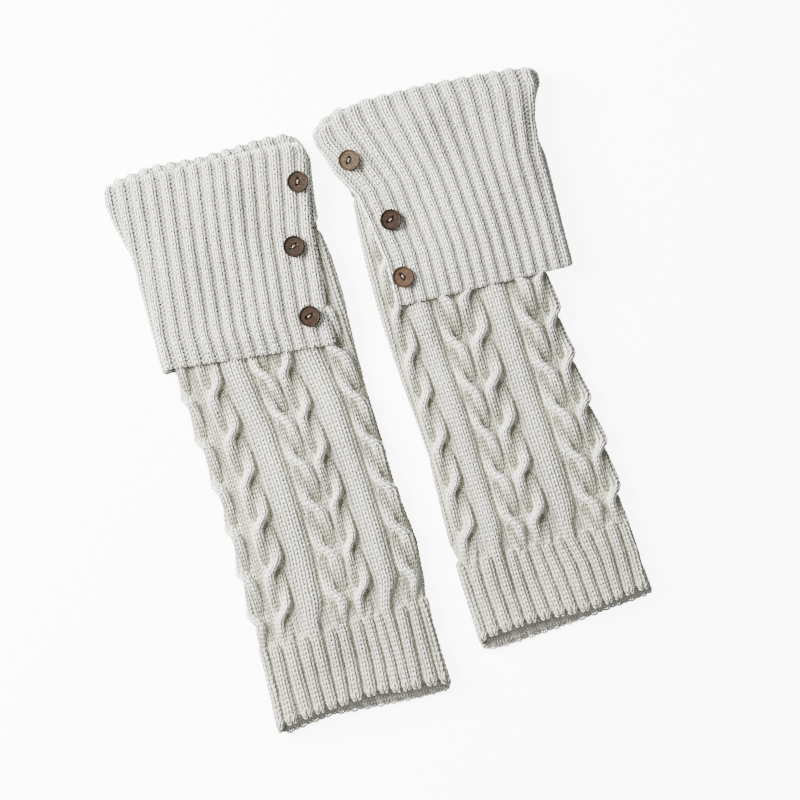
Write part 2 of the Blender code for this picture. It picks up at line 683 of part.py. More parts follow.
def make_button(warmer, number, material, collection, cutters):
    """Build one two-hole button: a turned disc with a raised rim, pierced twice."""
    across, along, hole_turn = warmer.buttons[number]
    name = f"button_{warmer.name}_{number + 1}"
    radius = BUTTON_DIAMETER / 2.0
    profile = [
        (0.0, BUTTON_THICKNESS - BUTTON_DISH), (radius - BUTTON_RIM, BUTTON_THICKNESS - BUTTON_DISH),
        (radius - BUTTON_EDGE, BUTTON_THICKNESS), (radius, BUTTON_THICKNESS - BUTTON_EDGE),
        (radius, BUTTON_EDGE), (radius - BUTTON_EDGE, 0.0), (0.0, 0.0),
    ]
    mesh = bpy.data.meshes.new(name)
    mesh.from_pydata([(r * MM, 0.0, z * MM) for r, z in profile], [(i, i + 1) for i in range(6)], [])
    button = bpy.data.objects.new(name, mesh)
    collection.objects.link(button)
    turned = button.modifiers.new("turn", "SCREW")
    turned.steps = BUTTON_SEGMENTS
    turned.render_steps = BUTTON_SEGMENTS
    turned.use_merge_vertices = True
    turned.merge_threshold = WELD_DISTANCE * MM
    rest_height = CUFF_HEIGHT + CUFF_RIB_RISE + PIECE_GAP
    offset = (warmer.button_side * across, along, rest_height)
    place(button, warmer, offset)
    for hole in (-1, 1):
        cutter = make_hole_cutter(f"hole_{name}_{'a' if hole < 0 else 'b'}", cutters)
        angle = math.radians(hole_turn)
        reach = hole * BUTTON_HOLE_SPACING / 2.0
        spot = (offset[0] + reach * math.cos(angle), along + reach * math.sin(angle),
                rest_height + BUTTON_THICKNESS / 2.0)
        place(cutter, warmer, spot)
        cut = button.modifiers.new(f"hole {hole}", "BOOLEAN")
        cut.operation = "DIFFERENCE"
        cut.object = cutter
    button.data.materials.append(material)
    button.data.shade_smooth()
    return button


def make_hole_cutter(name, cutters):
    """Build the round pin that pierces a button."""
    mesh = bpy.data.meshes.new(name)
    builder = bmesh.new()
    bmesh.ops.create_cone(builder, cap_ends=True, segments=BUTTON_HOLE_SEGMENTS,
                          radius1=BUTTON_HOLE / 2.0 * MM, radius2=BUTTON_HOLE / 2.0 * MM,
                          depth=3.0 * BUTTON_THICKNESS * MM)
    builder.to_mesh(mesh)
    builder.free()
    cutter = bpy.data.objects.new(name, mesh)
    cutter.hide_render = True
    cutter.display_type = "WIRE"
    cutters.objects.link(cutter)
    return cutter


def make_material(name, colour, roughness):
    """Make a plain material with the piece's colour."""
    material = bpy.data.materials.new(name)
    material.use_nodes = True
    shader = material.node_tree.nodes["Principled BSDF"]
    shader.inputs["Base Color"].default_value = colour
    shader.inputs["Roughness"].default_value = roughness
    shader.inputs["Metallic"].default_value = 0.0
    return material


def main():
    """Clear the scene and build both leg warmers."""
    for old in list(bpy.data.objects):
        bpy.data.objects.remove(old, do_unlink=True)
    collection = bpy.data.collections.new("leg_warmers")
    cutters = bpy.data.collections.new("cutters")
    bpy.context.scene.collection.children.link(collection)
    bpy.context.scene.collection.children.link(cutters)
    yarn = make_material("cream_yarn", YARN_COLOUR, 0.9)
    wood = make_material("button_wood", WOOD_COLOUR, 0.55)
    for warmer in (LEFT, RIGHT):
        make_leg(warmer, yarn, collection)
        make_cuff(warmer, yarn, collection)
        for number in range(len(warmer.buttons)):
            make_button(warmer, number, wood, collection, cutters)


main()
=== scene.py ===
"""Visual model of a pair of cable-knit leg warmers, laid flat side by side.

The cloth is worked out from the same sizes as the solids.  Each piece of knitting is
a closed thin wall that lies a yarn's depth below the surface, with one lobe of yarn
on it for each leg of each knit stitch, so the cloth has real gaps between its yarns.

Lengths are millimetres in a leg warmer's own frame until a mesh is made: x across it,
y towards the cuff, z up.  "Across" is measured along the cloth, which on the flat
front is x and past its edges goes on round the side.
"""

import logging
import math
from dataclasses import dataclass
from enum import Enum
from typing import Callable, Iterator

import bpy
import numpy as np
from bpy.types import Material, Node, NodeSocket, Object
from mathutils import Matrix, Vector


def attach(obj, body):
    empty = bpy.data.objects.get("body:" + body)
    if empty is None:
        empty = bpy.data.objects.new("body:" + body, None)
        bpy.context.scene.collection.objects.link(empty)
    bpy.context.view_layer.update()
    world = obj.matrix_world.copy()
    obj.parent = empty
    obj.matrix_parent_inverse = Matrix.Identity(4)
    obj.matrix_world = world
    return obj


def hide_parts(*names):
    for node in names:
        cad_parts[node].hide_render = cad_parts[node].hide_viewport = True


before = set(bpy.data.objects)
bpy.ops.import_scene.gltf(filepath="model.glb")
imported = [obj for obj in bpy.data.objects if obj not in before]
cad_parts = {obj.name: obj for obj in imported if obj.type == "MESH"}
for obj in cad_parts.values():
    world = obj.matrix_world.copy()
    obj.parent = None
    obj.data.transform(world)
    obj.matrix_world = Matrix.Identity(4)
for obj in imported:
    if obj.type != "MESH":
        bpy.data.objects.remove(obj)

MM = 0.001
Array = np.ndarray
Pair = tuple[Array, Array]
Triple = tuple[Array, Array, Array]
log = logging.getLogger("leg_warmers")


# ---------------------------------------------------------------- sizes


@dataclass(frozen=True)
class Layers:
    """Thickness of the cloth and of the spaces between its layers, in mm."""

    wall: float = 3.0
    tube_gap: float = 0.8
    mouth_gap: float = 3.0
    cover_gap: float = 0.7
    lining_side_gap: float = 0.9
    leg_lift: float = 3.3
    leg_height: float = 6.8
    cuff_height: float = 13.8
    fold_rounding: float = 3.6
    mouth_length: float = 26.0
    lift_length: float = 28.0
    lift_clearance: float = 4.0
    blend_to_fold: float = 150.0


@dataclass(frozen=True)
class Relief:
    """How far ribs and cables stand up from the cloth, and their lengths, in mm.

    The dish is the share by which a strand's inner side is lower between crossings.
    The scallops are how far a rib's end reaches past its valleys, leg_side and
    cuff_side how far yarn stands out past the edges of the plain cloth.
    """

    cable: float = 2.5
    cable_over: float = 1.9
    cable_under: float = 2.5
    cable_dish: float = 0.62
    cable_period: float = 32.7
    crossing: float = 14.0
    column: float = 3.0
    hem_rib: float = 2.4
    cuff_rib: float = 1.6
    funnel_top: float = -121.0
    funnel_length: float = 25.0
    funnel_end: float = -146.0
    finger_round: float = 5.0
    scallop: float = 1.7
    cuff_scallop: float = 0.8
    leg_side: float = 2.0
    cuff_side: float = 1.3
    end_length: float = 9.0


@dataclass(frozen=True)
class Softness:
    """How far the soft front bulges, in mm: by an even crown and by waves of up to a puff.

    A wave's numbers are mm across and along the cloth for one radian of it.  The bulge
    fades out over the other lengths: towards the sides, the leg's mouth and the cuff
    that lies on it, the buttons' row, and the cuff's hem and fold.
    """

    crown: float = 0.6
    puff: float = 3.2
    waves: tuple = ((9.5, 37.0), (-21.0, 15.0))
    side: float = 24.0
    leg_end: float = 25.0
    button_row: float = 38.0
    before_buttons: float = 30.0
    cuff_end: float = 18.0


@dataclass(frozen=True)
class Gauge:
    """Size of the knitting: rows, yarn and how deep the wall lies below it, in mm.

    The yarn's half width is that in a wale of the stated width.  The other widths are
    half widths too: of purl stitches, of the loops round a piece's end on ribs and in
    valleys, and of the yarn inside the mouth and along the split.  Wander is how far
    lobes stray at random, up and down by a share of it, and spread how much their
    thickness varies.  Rib pitch is that of hem ribs past those in the tables.
    """

    course: float = 3.08
    wale: float = 3.9
    yarn_width: float = 0.76
    yarn_height: float = 0.92
    yarn_depth: float = 0.70
    wall_depth: float = 1.05
    purl_width: float = 0.98
    loop_width: float = 0.70
    valley_loop_width: float = 0.75
    inside_width: float = 0.85
    wander: float = 0.10
    wander_up: float = 0.6
    spread: float = 0.04
    rib_pitch: float = 9.4
    sides: int = 5


LAYERS = Layers()
RELIEF = Relief()
SOFT = Softness()
GAUGE = Gauge()


class UnitKind(Enum):
    """What a strip of the leg's pattern is."""

    CABLE_FALLING = "cable whose upper strand runs down to the right"
    CABLE_RISING = "cable whose upper strand runs down to the left"
    COLUMN = "raised column of plain knitting"
    RECESS = "sunk strip of purl knitting"


@dataclass(frozen=True)
class WarmerSizes:
    """The sizes in which the two leg warmers differ, in mm and degrees.

    button_side is +1 where the cuff's split is at +x and -1 where it is at -x.
    Across values in the cuff's tables count from the middle towards that side.
    """

    name: str
    place: tuple[float, float]
    turn: float
    button_side: int
    leg_outline: tuple
    cuff_outline: tuple
    hem_line: tuple
    cuff_hem: tuple[float, float]
    cuff_back_hem: float
    split_top: float
    fold_line: tuple
    seam_line: tuple[float, float]
    pattern: tuple
    pattern_bounds: tuple
    first_crossing: float
    hem_ribs: tuple
    finger_top: float
    cuff_ribs: tuple
    cuff_rib_shift: tuple
    first_cuff_rib: float
    buttons: tuple


LEFT = WarmerSizes(
    name="left",
    place=(-81.4, 2.9),
    turn=1.25,
    button_side=1,
    # y, left edge, right edge
    leg_outline=(
        (-212, -70.0, 59.0), (-190, -67.9, 58.8), (-161, -64.8, 58.8), (-133, -63.3, 63.3),
        (-105, -62.3, 65.8), (-63, -59.5, 64.0), (-35, -59.0, 64.0), (21, -61.5, 64.0),
        (49, -61.2, 65.0), (77, -62.5, 67.0), (105, -62.5, 67.0), (119, -62.5, 65.8),
        (127, -62.0, 63.6), (150, -62.0, 62.5), (200, -62.0, 62.5),
    ),
    # y, far edge, button edge
    cuff_outline=(
        (40, 70.0, 67.5), (63, 69.6, 67.5), (105, 67.5, 67.5), (133, 66.4, 67.2),
        (147, 67.2, 69.0), (161, 69.0, 71.6), (175, 72.0, 74.5), (185, 73.5, 73.0), (202, 71.0, 66.0),
    ),
    # x, front hem, back hem
    hem_line=(
        (-70, -201.0, -208.0), (-45, -199.0, -205.5), (-28, -197.9, -204.2), (3, -197.4, -208.2),
        (12, -198.4, -209.1), (21, -200.6, -210.0), (32, -201.7, -211.0), (60, -205.5, -212.4),
    ),
    cuff_hem=(52.0, -0.155),
    cuff_back_hem=58.5,
    split_top=135.0,
    # across, front fold, back fold
    fold_line=(
        (-74, 193.5, 195.0), (-60, 196.0, 200.0), (-35, 195.0, 202.0), (0, 192.0, 197.5),
        (45, 188.5, 197.0), (62, 186.0, 195.0), (75, 180.0, 187.0),
    ),
    seam_line=(178.0, -0.08),
    # kind, number of the hem rib that it runs into
    pattern=(
        (UnitKind.CABLE_FALLING, 0), (UnitKind.RECESS, 1), (UnitKind.CABLE_RISING, 2),
        (UnitKind.COLUMN, 4), (UnitKind.CABLE_FALLING, 6), (UnitKind.CABLE_RISING, 8),
        (UnitKind.COLUMN, 10), (UnitKind.CABLE_FALLING, 12), (UnitKind.COLUMN, 14),
    ),
    # y, edges of the pattern's strips from left to right
    pattern_bounds=(
        (-136.5, -67.0, -51.1, -48.5, -31.2, -10.2, 9.8, 27.3, 44.5, 63.0, 79.0),
        (-115.5, -66.4, -50.4, -47.2, -30.1, -8.8, 11.6, 27.3, 45.5, 64.0, 80.4),
        (-86.0, -66.4, -50.4, -45.3, -26.6, -6.3, 13.0, 27.3, 46.9, 64.4, 80.4),
        (-42.7, -65.4, -49.4, -43.6, -25.6, -4.9, 12.3, 27.7, 46.9, 63.7, 79.7),
        (0.7, -66.4, -50.4, -44.6, -25.9, -5.6, 9.5, 26.3, 46.9, 62.3, 78.3),
        (45.5, -68.5, -52.5, -47.0, -29.4, -10.2, 4.6, 21.7, 43.0, 60.0, 76.0),
        (120.0, -68.5, -52.5, -47.0, -29.4, -10.2, 4.6, 21.7, 44.0, 60.0, 76.0),
    ),
    first_crossing=38.5,
    # y, middles of the hem's ribs from left to right
    hem_ribs=(
        (-197.0, -66.0, -56.0, -44.1, -35.0, -25.5, -17.0, -7.5, 3.0, 11.9, 20.3, 27.8, 34.8, 45.5, 55.3),
        (-175.0, -64.0, -54.6, -43.4, -33.6, -24.5, -14.5, -4.9, 5.3, 14.5, 22.3, 29.2, 37.1, 46.9, 56.0),
        (-150.5, -62.3, -52.5, -42.0, -31.5, -22.4, -11.9, -3.0, 7.5, 15.8, 23.1, 30.1, 39.9, 48.5, 57.0),
    ),
    finger_top=-143.5,
    # y, front edge, rib pitch
    cuff_ribs=((40, 52.5, 9.45), (75, 53.5, 9.45), (133, 62.0, 9.45), (189, 76.7, 10.05)),
    # ribs from the front edge, shift towards the button side
    cuff_rib_shift=((3, 0.0), (6, 1.8), (9.5, 3.1), (12.5, 1.4), (15, 0.0)),
    first_cuff_rib=0.5,
    # across, y, turn of the holes
    buttons=((61.3, 158.9, 65.0), (45.2, 116.9, 24.0), (41.0, 67.2, 15.0)),
)

RIGHT = WarmerSizes(
    name="right",
    place=(72.0, 16.5),
    turn=-1.25,
    button_side=-1,
    leg_outline=(
        (-208, -60.5, 68.6), (-189, -60.2, 67.4), (-133, -61.9, 64.4), (-91, -60.9, 64.3),
        (-63, -60.5, 61.6), (-35, -62.3, 59.0), (-7, -64.8, 56.8), (35, -66.8, 55.6),
        (49, -67.2, 56.0), (77, -67.2, 58.0), (105, -66.1, 60.0), (119, -65.3, 61.0),
        (127, -63.5, 61.5), (150, -62.5, 63.0), (200, -62.5, 63.0),
    ),
    cuff_outline=(
        (30, 73.0, 67.2), (63, 73.0, 67.2), (119, 73.8, 66.8), (133, 72.8, 68.0),
        (147, 73.5, 74.0), (161, 78.5, 76.6), (173, 83.3, 80.6), (181, 83.0, 80.5), (195, 78.0, 74.0),
    ),
    hem_line=(
        (-62, -197.5, -205.5), (-45, -195.4, -207.0), (-20, -193.5, -205.3), (0, -194.6, -204.0),
        (18, -195.6, -202.5), (35, -194.5, -200.5), (52, -192.2, -199.0), (65, -191.5, -198.0),
    ),
    cuff_hem=(41.5, 0.03),
    cuff_back_hem=41.0,
    split_top=136.0,
    fold_line=(
        (-84, 177.5, 178.5), (-68, 182.5, 183.0), (-40, 185.0, 185.0), (0, 188.0, 188.0),
        (40, 188.0, 189.5), (60, 184.0, 188.5), (80, 172.0, 180.0),
    ),
    seam_line=(166.0, 0.0),
    pattern=(
        (UnitKind.COLUMN, -1), (UnitKind.CABLE_RISING, 1), (UnitKind.COLUMN, 3),
        (UnitKind.CABLE_FALLING, 5), (UnitKind.CABLE_RISING, 7), (UnitKind.COLUMN, 9),
        (UnitKind.CABLE_FALLING, 11), (UnitKind.CABLE_RISING, 13), (UnitKind.COLUMN, 15),
    ),
    pattern_bounds=(
        (-133.0, -73.5, -57.5, -39.2, -23.1, -7.0, 12.0, 29.8, 50.4, 66.1, 82.0),
        (-115.5, -73.5, -57.5, -39.6, -23.6, -7.1, 11.3, 31.0, 49.8, 66.1, 81.6),
        (-87.5, -73.5, -57.5, -41.0, -24.8, -8.8, 9.5, 29.8, 48.4, 65.4, 80.9),
        (-45.5, -75.0, -59.0, -42.4, -25.6, -11.2, 7.9, 27.0, 45.0, 62.1, 77.6),
        (0.0, -77.0, -61.0, -45.8, -29.0, -13.3, 6.3, 24.7, 41.5, 58.0, 73.5),
        (38.5, -77.0, -61.5, -47.6, -30.8, -13.6, 5.1, 23.1, 41.3, 57.0, 72.5),
        (120.0, -77.0, -61.5, -47.6, -30.8, -13.6, 5.1, 23.1, 41.3, 57.0, 72.5),
    ),
    first_crossing=41.2,
    hem_ribs=(
        (-194.0, -56.5, -48.0, -38.0, -29.0, -20.0, -10.0, 0.0, 9.0, 18.0, 27.0, 35.5, 43.0, 51.5, 61.5),
        (-164.0, -58.4, -50.0, -39.9, -30.8, -21.7, -13.0, -2.8, 6.3, 16.0, 25.0, 33.8, 42.7, 52.2, 61.6),
        (-143.5, -59.8, -51.0, -40.0, -31.5, -22.0, -14.0, -5.0, 3.0, 12.0, 20.5, 30.5, 41.0, 51.0, 60.0),
    ),
    finger_top=-141.0,
    cuff_ribs=(
        (40, 53.9, 8.75), (75, 53.6, 8.75), (126, 60.8, 9.24), (175, 82.3, 11.34), (190, 84.0, 11.34),
    ),
    cuff_rib_shift=((0, 0.0), (15, 0.0)),
    first_cuff_rib=1.0,
    buttons=((60.5, 149.8, 57.0), (43.1, 102.2, 24.0), (45.2, 61.6, 110.0)),
)


# ---------------------------------------------------------------- cloth sections


def column_of(table: tuple, key: Array, column: int) -> Array:
    """Read one column of a table between its rows.

    Args:
        table: rows whose first value is the key, in rising order.
        key: where to read it.
        column: which column to read.

    Returns:
        The column's values at key.
    """
    rows = np.array(table, dtype=float)
    return np.interp(key, rows[:, 0], rows[:, column])


def column_between(table: tuple, key: Array, back: Array) -> Array:
    """Read a table's first column for the front, passing into its second as back goes to 1."""
    front = column_of(table, key, 1)
    return front + (column_of(table, key, 2) - front) * back


def smooth(value: Array) -> Array:
    """Ease from 0 to 1 as value goes from 0 to 1, by 3v^2 - 2v^3."""
    held = np.clip(value, 0.0, 1.0)
    return held * held * (3.0 - 2.0 * held)


def band_point(turn: Array, left: Array, right: Array, bottom: Array, top: Array) -> tuple[Array, ...]:
    """Point and outward direction on a flat band's section.

    turn counts 0 to 1 over the front from left to right, 1 to 2 round the right half
    circle, 2 to 3 over the back and 3 to 4 round the left half circle.

    Args:
        turn: place on the section.
        left, right: the section's outer edges.
        bottom, top: heights of its back and front.

    Returns:
        x, z, outward x, outward z.
    """
    turn = np.mod(turn, 4.0)
    radius = (top - bottom) / 2.0
    flat = right - left - 2.0 * radius
    part = [turn < 1.0, turn < 2.0, turn < 3.0]
    angle = math.pi * (np.where(part[1], 1.5, 2.5) - turn)
    none = np.zeros_like(turn)
    out_x = np.select(part, [none, np.cos(angle), none], np.cos(angle))
    out_z = np.select(part, [none + 1.0, np.sin(angle), none - 1.0], np.sin(angle))
    x = np.select(part, [left + radius + turn * flat, right - radius + none,
                         right - radius - (turn - 2.0) * flat], left + radius + none)
    return x + radius * out_x, (top + bottom) / 2.0 + radius * out_z, out_x, out_z


def turn_at(across: Array, left: Array, right: Array, bottom: Array, top: Array) -> Array:
    """Turn of a place given by its distance across the cloth.

    Past either edge of the flat front the distance goes on round the half circle and
    under the back, so the result may be below 0 on the left.
    """
    radius = (top - bottom) / 2.0
    flat = right - left - 2.0 * radius
    side = math.pi * radius
    past_right = across - (right - radius)
    past_left = (left + radius) - across
    return np.select(
        [past_left > side, past_left > 0.0, past_right <= 0.0, past_right <= side],
        [-1.0 - (past_left - side) / flat, -past_left / side, (across - left - radius) / flat,
         1.0 + past_right / side],
        2.0 + (past_right - side) / flat,
    )


def backness(turn: Array) -> Array:
    """0 on the front, 1 on the back and a smooth change round the sides."""
    turn = np.mod(turn, 4.0)
    none = np.zeros_like(turn)
    return np.select([turn < 1.0, turn < 2.0, turn < 3.0], [none, smooth(turn - 1.0), none + 1.0],
                     smooth(4.0 - turn))


def underside_fade(out_z: Array) -> Array:
    """1 where the cloth looks up or sideways and 0 where it lies on the floor."""
    return smooth((out_z + 0.85) / 0.6)


def seam_edges(sizes: WarmerSizes) -> tuple[float, float]:
    """Far and button edge of the cuff at its seam, counted towards the button side."""
    level, slope = sizes.seam_line
    lean = slope * sizes.button_side * Cloth.EDGE
    far = column_of(sizes.cuff_outline, level - lean, 1) - RELIEF.cuff_side
    near = column_of(sizes.cuff_outline, level + lean, 2) - RELIEF.cuff_side
    return -float(far), float(near)


class Cloth:
    """A piece of knitting as a surface that other classes place yarn on.

    EDGE is how far from its middle a cuff's tables of edges are read, in mm.
    """

    EDGE = 70.0

    def __init__(self, sizes: WarmerSizes) -> None:
        self.sizes = sizes

    def to_row_frame(self, points: Array) -> Array:
        """Turn points by the leg warmer's own angle and move them to where it lies.

        Args:
            points: (..., 3) points in mm in the leg warmer's frame.

        Returns:
            The same points in metres in the shared frame.
        """
        angle = math.radians(self.sizes.turn)
        turned = points @ np.array([[math.cos(angle), math.sin(angle), 0.0],
                                    [-math.sin(angle), math.cos(angle), 0.0], [0.0, 0.0, 1.0]])
        return (turned + np.array([*self.sizes.place, 0.0])) * MM

    def bulge(self, x: Array, y: Array, inside: Array) -> Array:
        """Height in mm by which the soft front bulges: a crown and two crossing waves.

        Args:
            x, y: places in the leg warmer's frame.
            inside: 0 where the cloth lies flat to 1 where it may bulge.
        """
        phase = 2.0 * self.sizes.button_side
        waves = sum(np.sin(x / across + y / along + number * phase)
                    for number, (across, along) in enumerate(SOFT.waves, 1))
        return (SOFT.crown + SOFT.puff * (0.5 + 0.25 * waves)) * inside


class LegCloth(Cloth):
    """The leg: a tube pressed flat, with the cables and ribs on its outer face."""

    def __init__(self, sizes: WarmerSizes) -> None:
        super().__init__(sizes)
        self.hem = float(column_of(sizes.hem_line, 0.0, 1))
        self.seam = sizes.seam_line[0] - 0.3

    def seam_share(self, y: Array) -> Array:
        """How far y lies from where the sections start to change, 0, to the seam, 1."""
        level = self.sizes.seam_line[0]
        return np.clip((y - LAYERS.blend_to_fold) / (level - LAYERS.blend_to_fold), 0.0, 1.0)

    def edges(self, y: Array) -> Pair:
        """Left and right edge of the outer face at y, without its relief."""
        left = column_of(self.sizes.leg_outline, y, 1) + RELIEF.leg_side
        right = column_of(self.sizes.leg_outline, y, 2) - RELIEF.leg_side
        share = self.seam_share(y)
        low, high = seam_edges(self.sizes)
        cuff_left, cuff_right = (low, high) if self.sizes.button_side > 0 else (-high, -low)
        inset = LAYERS.wall + LAYERS.cover_gap + LAYERS.lining_side_gap
        return left + (cuff_left + inset - left) * share, right + (cuff_right - inset - right) * share

    def heights(self, y: Array) -> Pair:
        """Height of the underside and of the front at y, without its relief."""
        rise = (y - self.sizes.cuff_back_hem + LAYERS.lift_clearance) / LAYERS.lift_length + 1.0
        lift = LAYERS.leg_lift * smooth(rise)
        open_share = smooth(1.0 - (y - self.hem) / LAYERS.mouth_length)
        return lift, lift + LAYERS.leg_height + (LAYERS.mouth_gap - LAYERS.tube_gap) * open_share

    def slant(self, x: Array, y: Array, turn: Array) -> Array:
        """Bend a level row to the slanting hem below and to the seam's line above."""
        hem = column_between(self.sizes.hem_line, x, backness(turn))
        hem_share = np.clip(1.0 - (y - self.hem) / 50.0, 0.0, 1.0)
        return y + (hem - self.hem) * hem_share + self.sizes.seam_line[1] * x * self.seam_share(y)

    def clear_of_cuff(self, x: Array, y: Array) -> Array:
        """Distance in mm from the nearest place where the cuff lies on the leg."""
        across = self.sizes.button_side * x
        below_hem = self.sizes.cuff_hem[0] + self.sizes.cuff_hem[1] * across - y
        beside = np.minimum(across - column_of(self.sizes.cuff_ribs, y, 1), self.sizes.split_top - 3.0 - y)
        return np.maximum(below_hem, beside)

    def surface(self, across: Array, y: Array, relief: Array, lift: Array,
                inner: bool = False, draw_back: float = 0.0) -> Pair:
        """Points on the leg and the directions in which its face looks.

        The section at y gives the plain surface.  The relief is added along the face's
        direction, less near the cuff and on the underside, and then the lift.  At the
        hem what stands up also reaches further down, so its edge is scalloped.

        Args:
            across, y: places on the cloth.
            relief: height of the pattern there.
            lift: height above the pattern.
            inner: whether the face inside the tube is meant.
            draw_back: how far the hem is drawn back, in mm.

        Returns:
            (..., 3) points and (..., 3) directions.
        """
        left, right = self.edges(y)
        bottom, top = self.heights(y)
        turn = turn_at(across, left, right, bottom, top)
        inset = LAYERS.wall if inner else 0.0
        x, z, out_x, out_z = band_point(turn, left + inset, right - inset, bottom + inset, top - inset)
        clear = self.clear_of_cuff(x, y)
        front = 1.0 - backness(turn)
        if not inner:
            inside = smooth(np.minimum(x - left, right - x) / SOFT.side) * front
            opening = 0.7 + 0.3 * smooth((y - self.hem) / SOFT.leg_end)
            z = z + self.bulge(x, y, inside * smooth(clear / SOFT.leg_end) * opening)
        sign = -1.0 if inner else 1.0
        out = sign * (relief * (underside_fade(out_z) * smooth((clear + 1.6) / 2.4)) + lift)
        scallop = RELIEF.scallop * (relief / RELIEF.hem_rib - 0.5 * front)
        reach = (scallop - draw_back) * smooth(1.0 - (y - self.hem) / RELIEF.end_length)
        points = np.stack([x + out_x * out, self.slant(x, y, turn) - reach, z + out_z * out], axis=-1)
        return points, sign * np.stack([out_x, np.zeros_like(out_x), out_z], axis=-1)


class CuffCloth(Cloth):
    """The cuff: a ribbed strip that folds over the top and hangs outside the leg.

    A place on it has a step, counted in ribs from the split's front edge, and a way,
    counted in mm from its hem up the outside, over the fold and down the lining.
    """

    def __init__(self, sizes: WarmerSizes) -> None:
        super().__init__(sizes)
        self.hem = sizes.cuff_hem[0]
        self.fold = float(column_of(sizes.fold_line, 0.0, 1)) - LAYERS.fold_rounding
        self.length = self.fold - self.hem
        self.inset = 2.0 * LAYERS.wall + LAYERS.cover_gap
        self.fold_length = math.pi * self.inset / 2.0
        self.lining_length = self.fold - sizes.seam_line[0]
        self.way_end = self.length + self.fold_length + self.lining_length
        self.split_way = sizes.split_top - self.hem

    def station(self, share: Array, across: Array, back: Array) -> Array:
        """Place along y, a share of the way from the hem to the start of the fold.

        Args:
            share: 0 at the hem to 1 where the fold starts.
            across: place counted towards the button side.
            back: 0 on the front to 1 on the back.
        """
        front_hem = self.sizes.cuff_hem[0] + self.sizes.cuff_hem[1] * across
        hem = front_hem + (self.sizes.cuff_back_hem - front_hem) * back
        fold = column_between(self.sizes.fold_line, across, back)
        return hem + (fold - LAYERS.fold_rounding - hem) * share

    def edges(self, share: Array) -> Pair:
        """Far and button edge of the outer face, counted towards the button side."""
        far = column_of(self.sizes.cuff_outline, self.station(share, -self.EDGE, 0.5), 1)
        near = column_of(self.sizes.cuff_outline, self.station(share, self.EDGE, 0.5), 2)
        return -(far - RELIEF.cuff_side), near - RELIEF.cuff_side

    def turn_of(self, step: Array, way: Array) -> Array:
        """Turn on the section of a step, at a way along the cuff."""
        share = np.clip(way / self.length, 0.0, 1.0)
        level = self.hem + self.length * share
        low, high = self.edges(share)
        across = column_of(self.sizes.cuff_ribs, level, 1) - step * column_of(self.sizes.cuff_ribs, level, 2)
        across = across + column_of(self.sizes.cuff_rib_shift, step, 1)
        return turn_at(across, low, high, np.zeros_like(share), np.full_like(share, LAYERS.cuff_height))

    def surface_at(self, turn: Array, way: Array, lift: Array | float = 0.0,
                   inner: bool = False) -> Pair:
        """Points on the cuff at turns of its section, and where its face looks.

        Up to the fold the section is the outer one.  Over the fold the section draws in
        along a half circle while y rises and falls again, and the lining follows with
        its edges changing to those of the seam.

        Args:
            turn: place on the section.
            way: mm along the cuff from its hem.
            lift: height above the face.
            inner: whether the cloth's other face is meant.

        Returns:
            (..., 3) points and (..., 3) directions.
        """
        side = self.sizes.button_side
        share = np.clip(way / self.length, 0.0, 1.0)
        angle = np.clip((way - self.length) / self.fold_length, 0.0, 1.0) * math.pi
        down = np.clip((way - self.length - self.fold_length) / self.lining_length, 0.0, 1.0)
        low, high = self.edges(share)
        seam_low, seam_high = seam_edges(self.sizes)
        low = low + (seam_low - low) * down
        high = high + (seam_high - high) * down
        drawn_in = (1.0 - np.cos(angle)) / 2.0
        if inner:
            inset = LAYERS.wall + LAYERS.cover_gap * drawn_in
            rise = 0.4 * np.sin(angle)
            inset_side = inset + LAYERS.lining_side_gap * down
        else:
            inset = self.inset * drawn_in
            rise = LAYERS.fold_rounding * np.sin(angle)
            inset_side = inset + LAYERS.lining_side_gap * smooth(angle / math.pi)
        under = inset * (LAYERS.leg_lift + LAYERS.wall) / self.inset
        x, z, out_x, out_z = band_point(turn, low + inset_side, high - inset_side, under,
                                        LAYERS.cuff_height - inset)
        y = self.station(share, x, backness(turn)) + rise
        y = y + (self.sizes.seam_line[0] + self.sizes.seam_line[1] * side * x - y) * down
        if not inner:
            inside = smooth((x - low) / SOFT.side) * smooth((SOFT.button_row - x) / SOFT.before_buttons)
            inside = inside * (1.0 - backness(turn)) * smooth(way / SOFT.cuff_end)
            z = z + self.bulge(side * x, y, inside * smooth((self.length - way) / SOFT.cuff_end))
        sign = -1.0 if inner else 1.0
        face = sign * np.stack([side * out_x * np.cos(angle), np.sin(angle), out_z * np.cos(angle)], axis=-1)
        points = np.stack([side * x, y, z], axis=-1)
        return points + face * np.asarray(lift)[..., None], face

    def surface(self, step: Array, way: Array, relief: Array, lift: Array) -> Pair:
        """Points on the cuff at steps and ways, with the ribs' relief and a lift."""
        turn = self.turn_of(step, way)
        _, face = self.surface_at(turn, way)
        return self.surface_at(turn, way, relief * underside_fade(face[..., 2]) + lift)


# ---------------------------------------------------------------- meshes


def make_object(name: str, points: Array, loops: Array, lengths: Array) -> Object:
    """Make a smooth-shaded object from whole arrays.

    Args:
        name: the object's name.
        points: (n, 3) corner positions in metres.
        loops: corner numbers of all faces, one face after the other.
        lengths: how many corners each face has.

    Returns:
        The linked object, at the origin.
    """
    mesh = bpy.data.meshes.new(name)
    mesh.vertices.add(len(points))
    mesh.vertices.foreach_set("co", np.ascontiguousarray(points, dtype=np.float32).ravel())
    mesh.loops.add(len(loops))
    mesh.loops.foreach_set("vertex_index", np.ascontiguousarray(loops, dtype=np.int32))
    mesh.polygons.add(len(lengths))
    mesh.polygons.foreach_set("loop_start", (np.cumsum(lengths) - lengths).astype(np.int32))
    mesh.update(calc_edges=True)
    mesh.shade_smooth()
    piece = bpy.data.objects.new(name, mesh)
    bpy.context.scene.collection.objects.link(piece)
    return piece


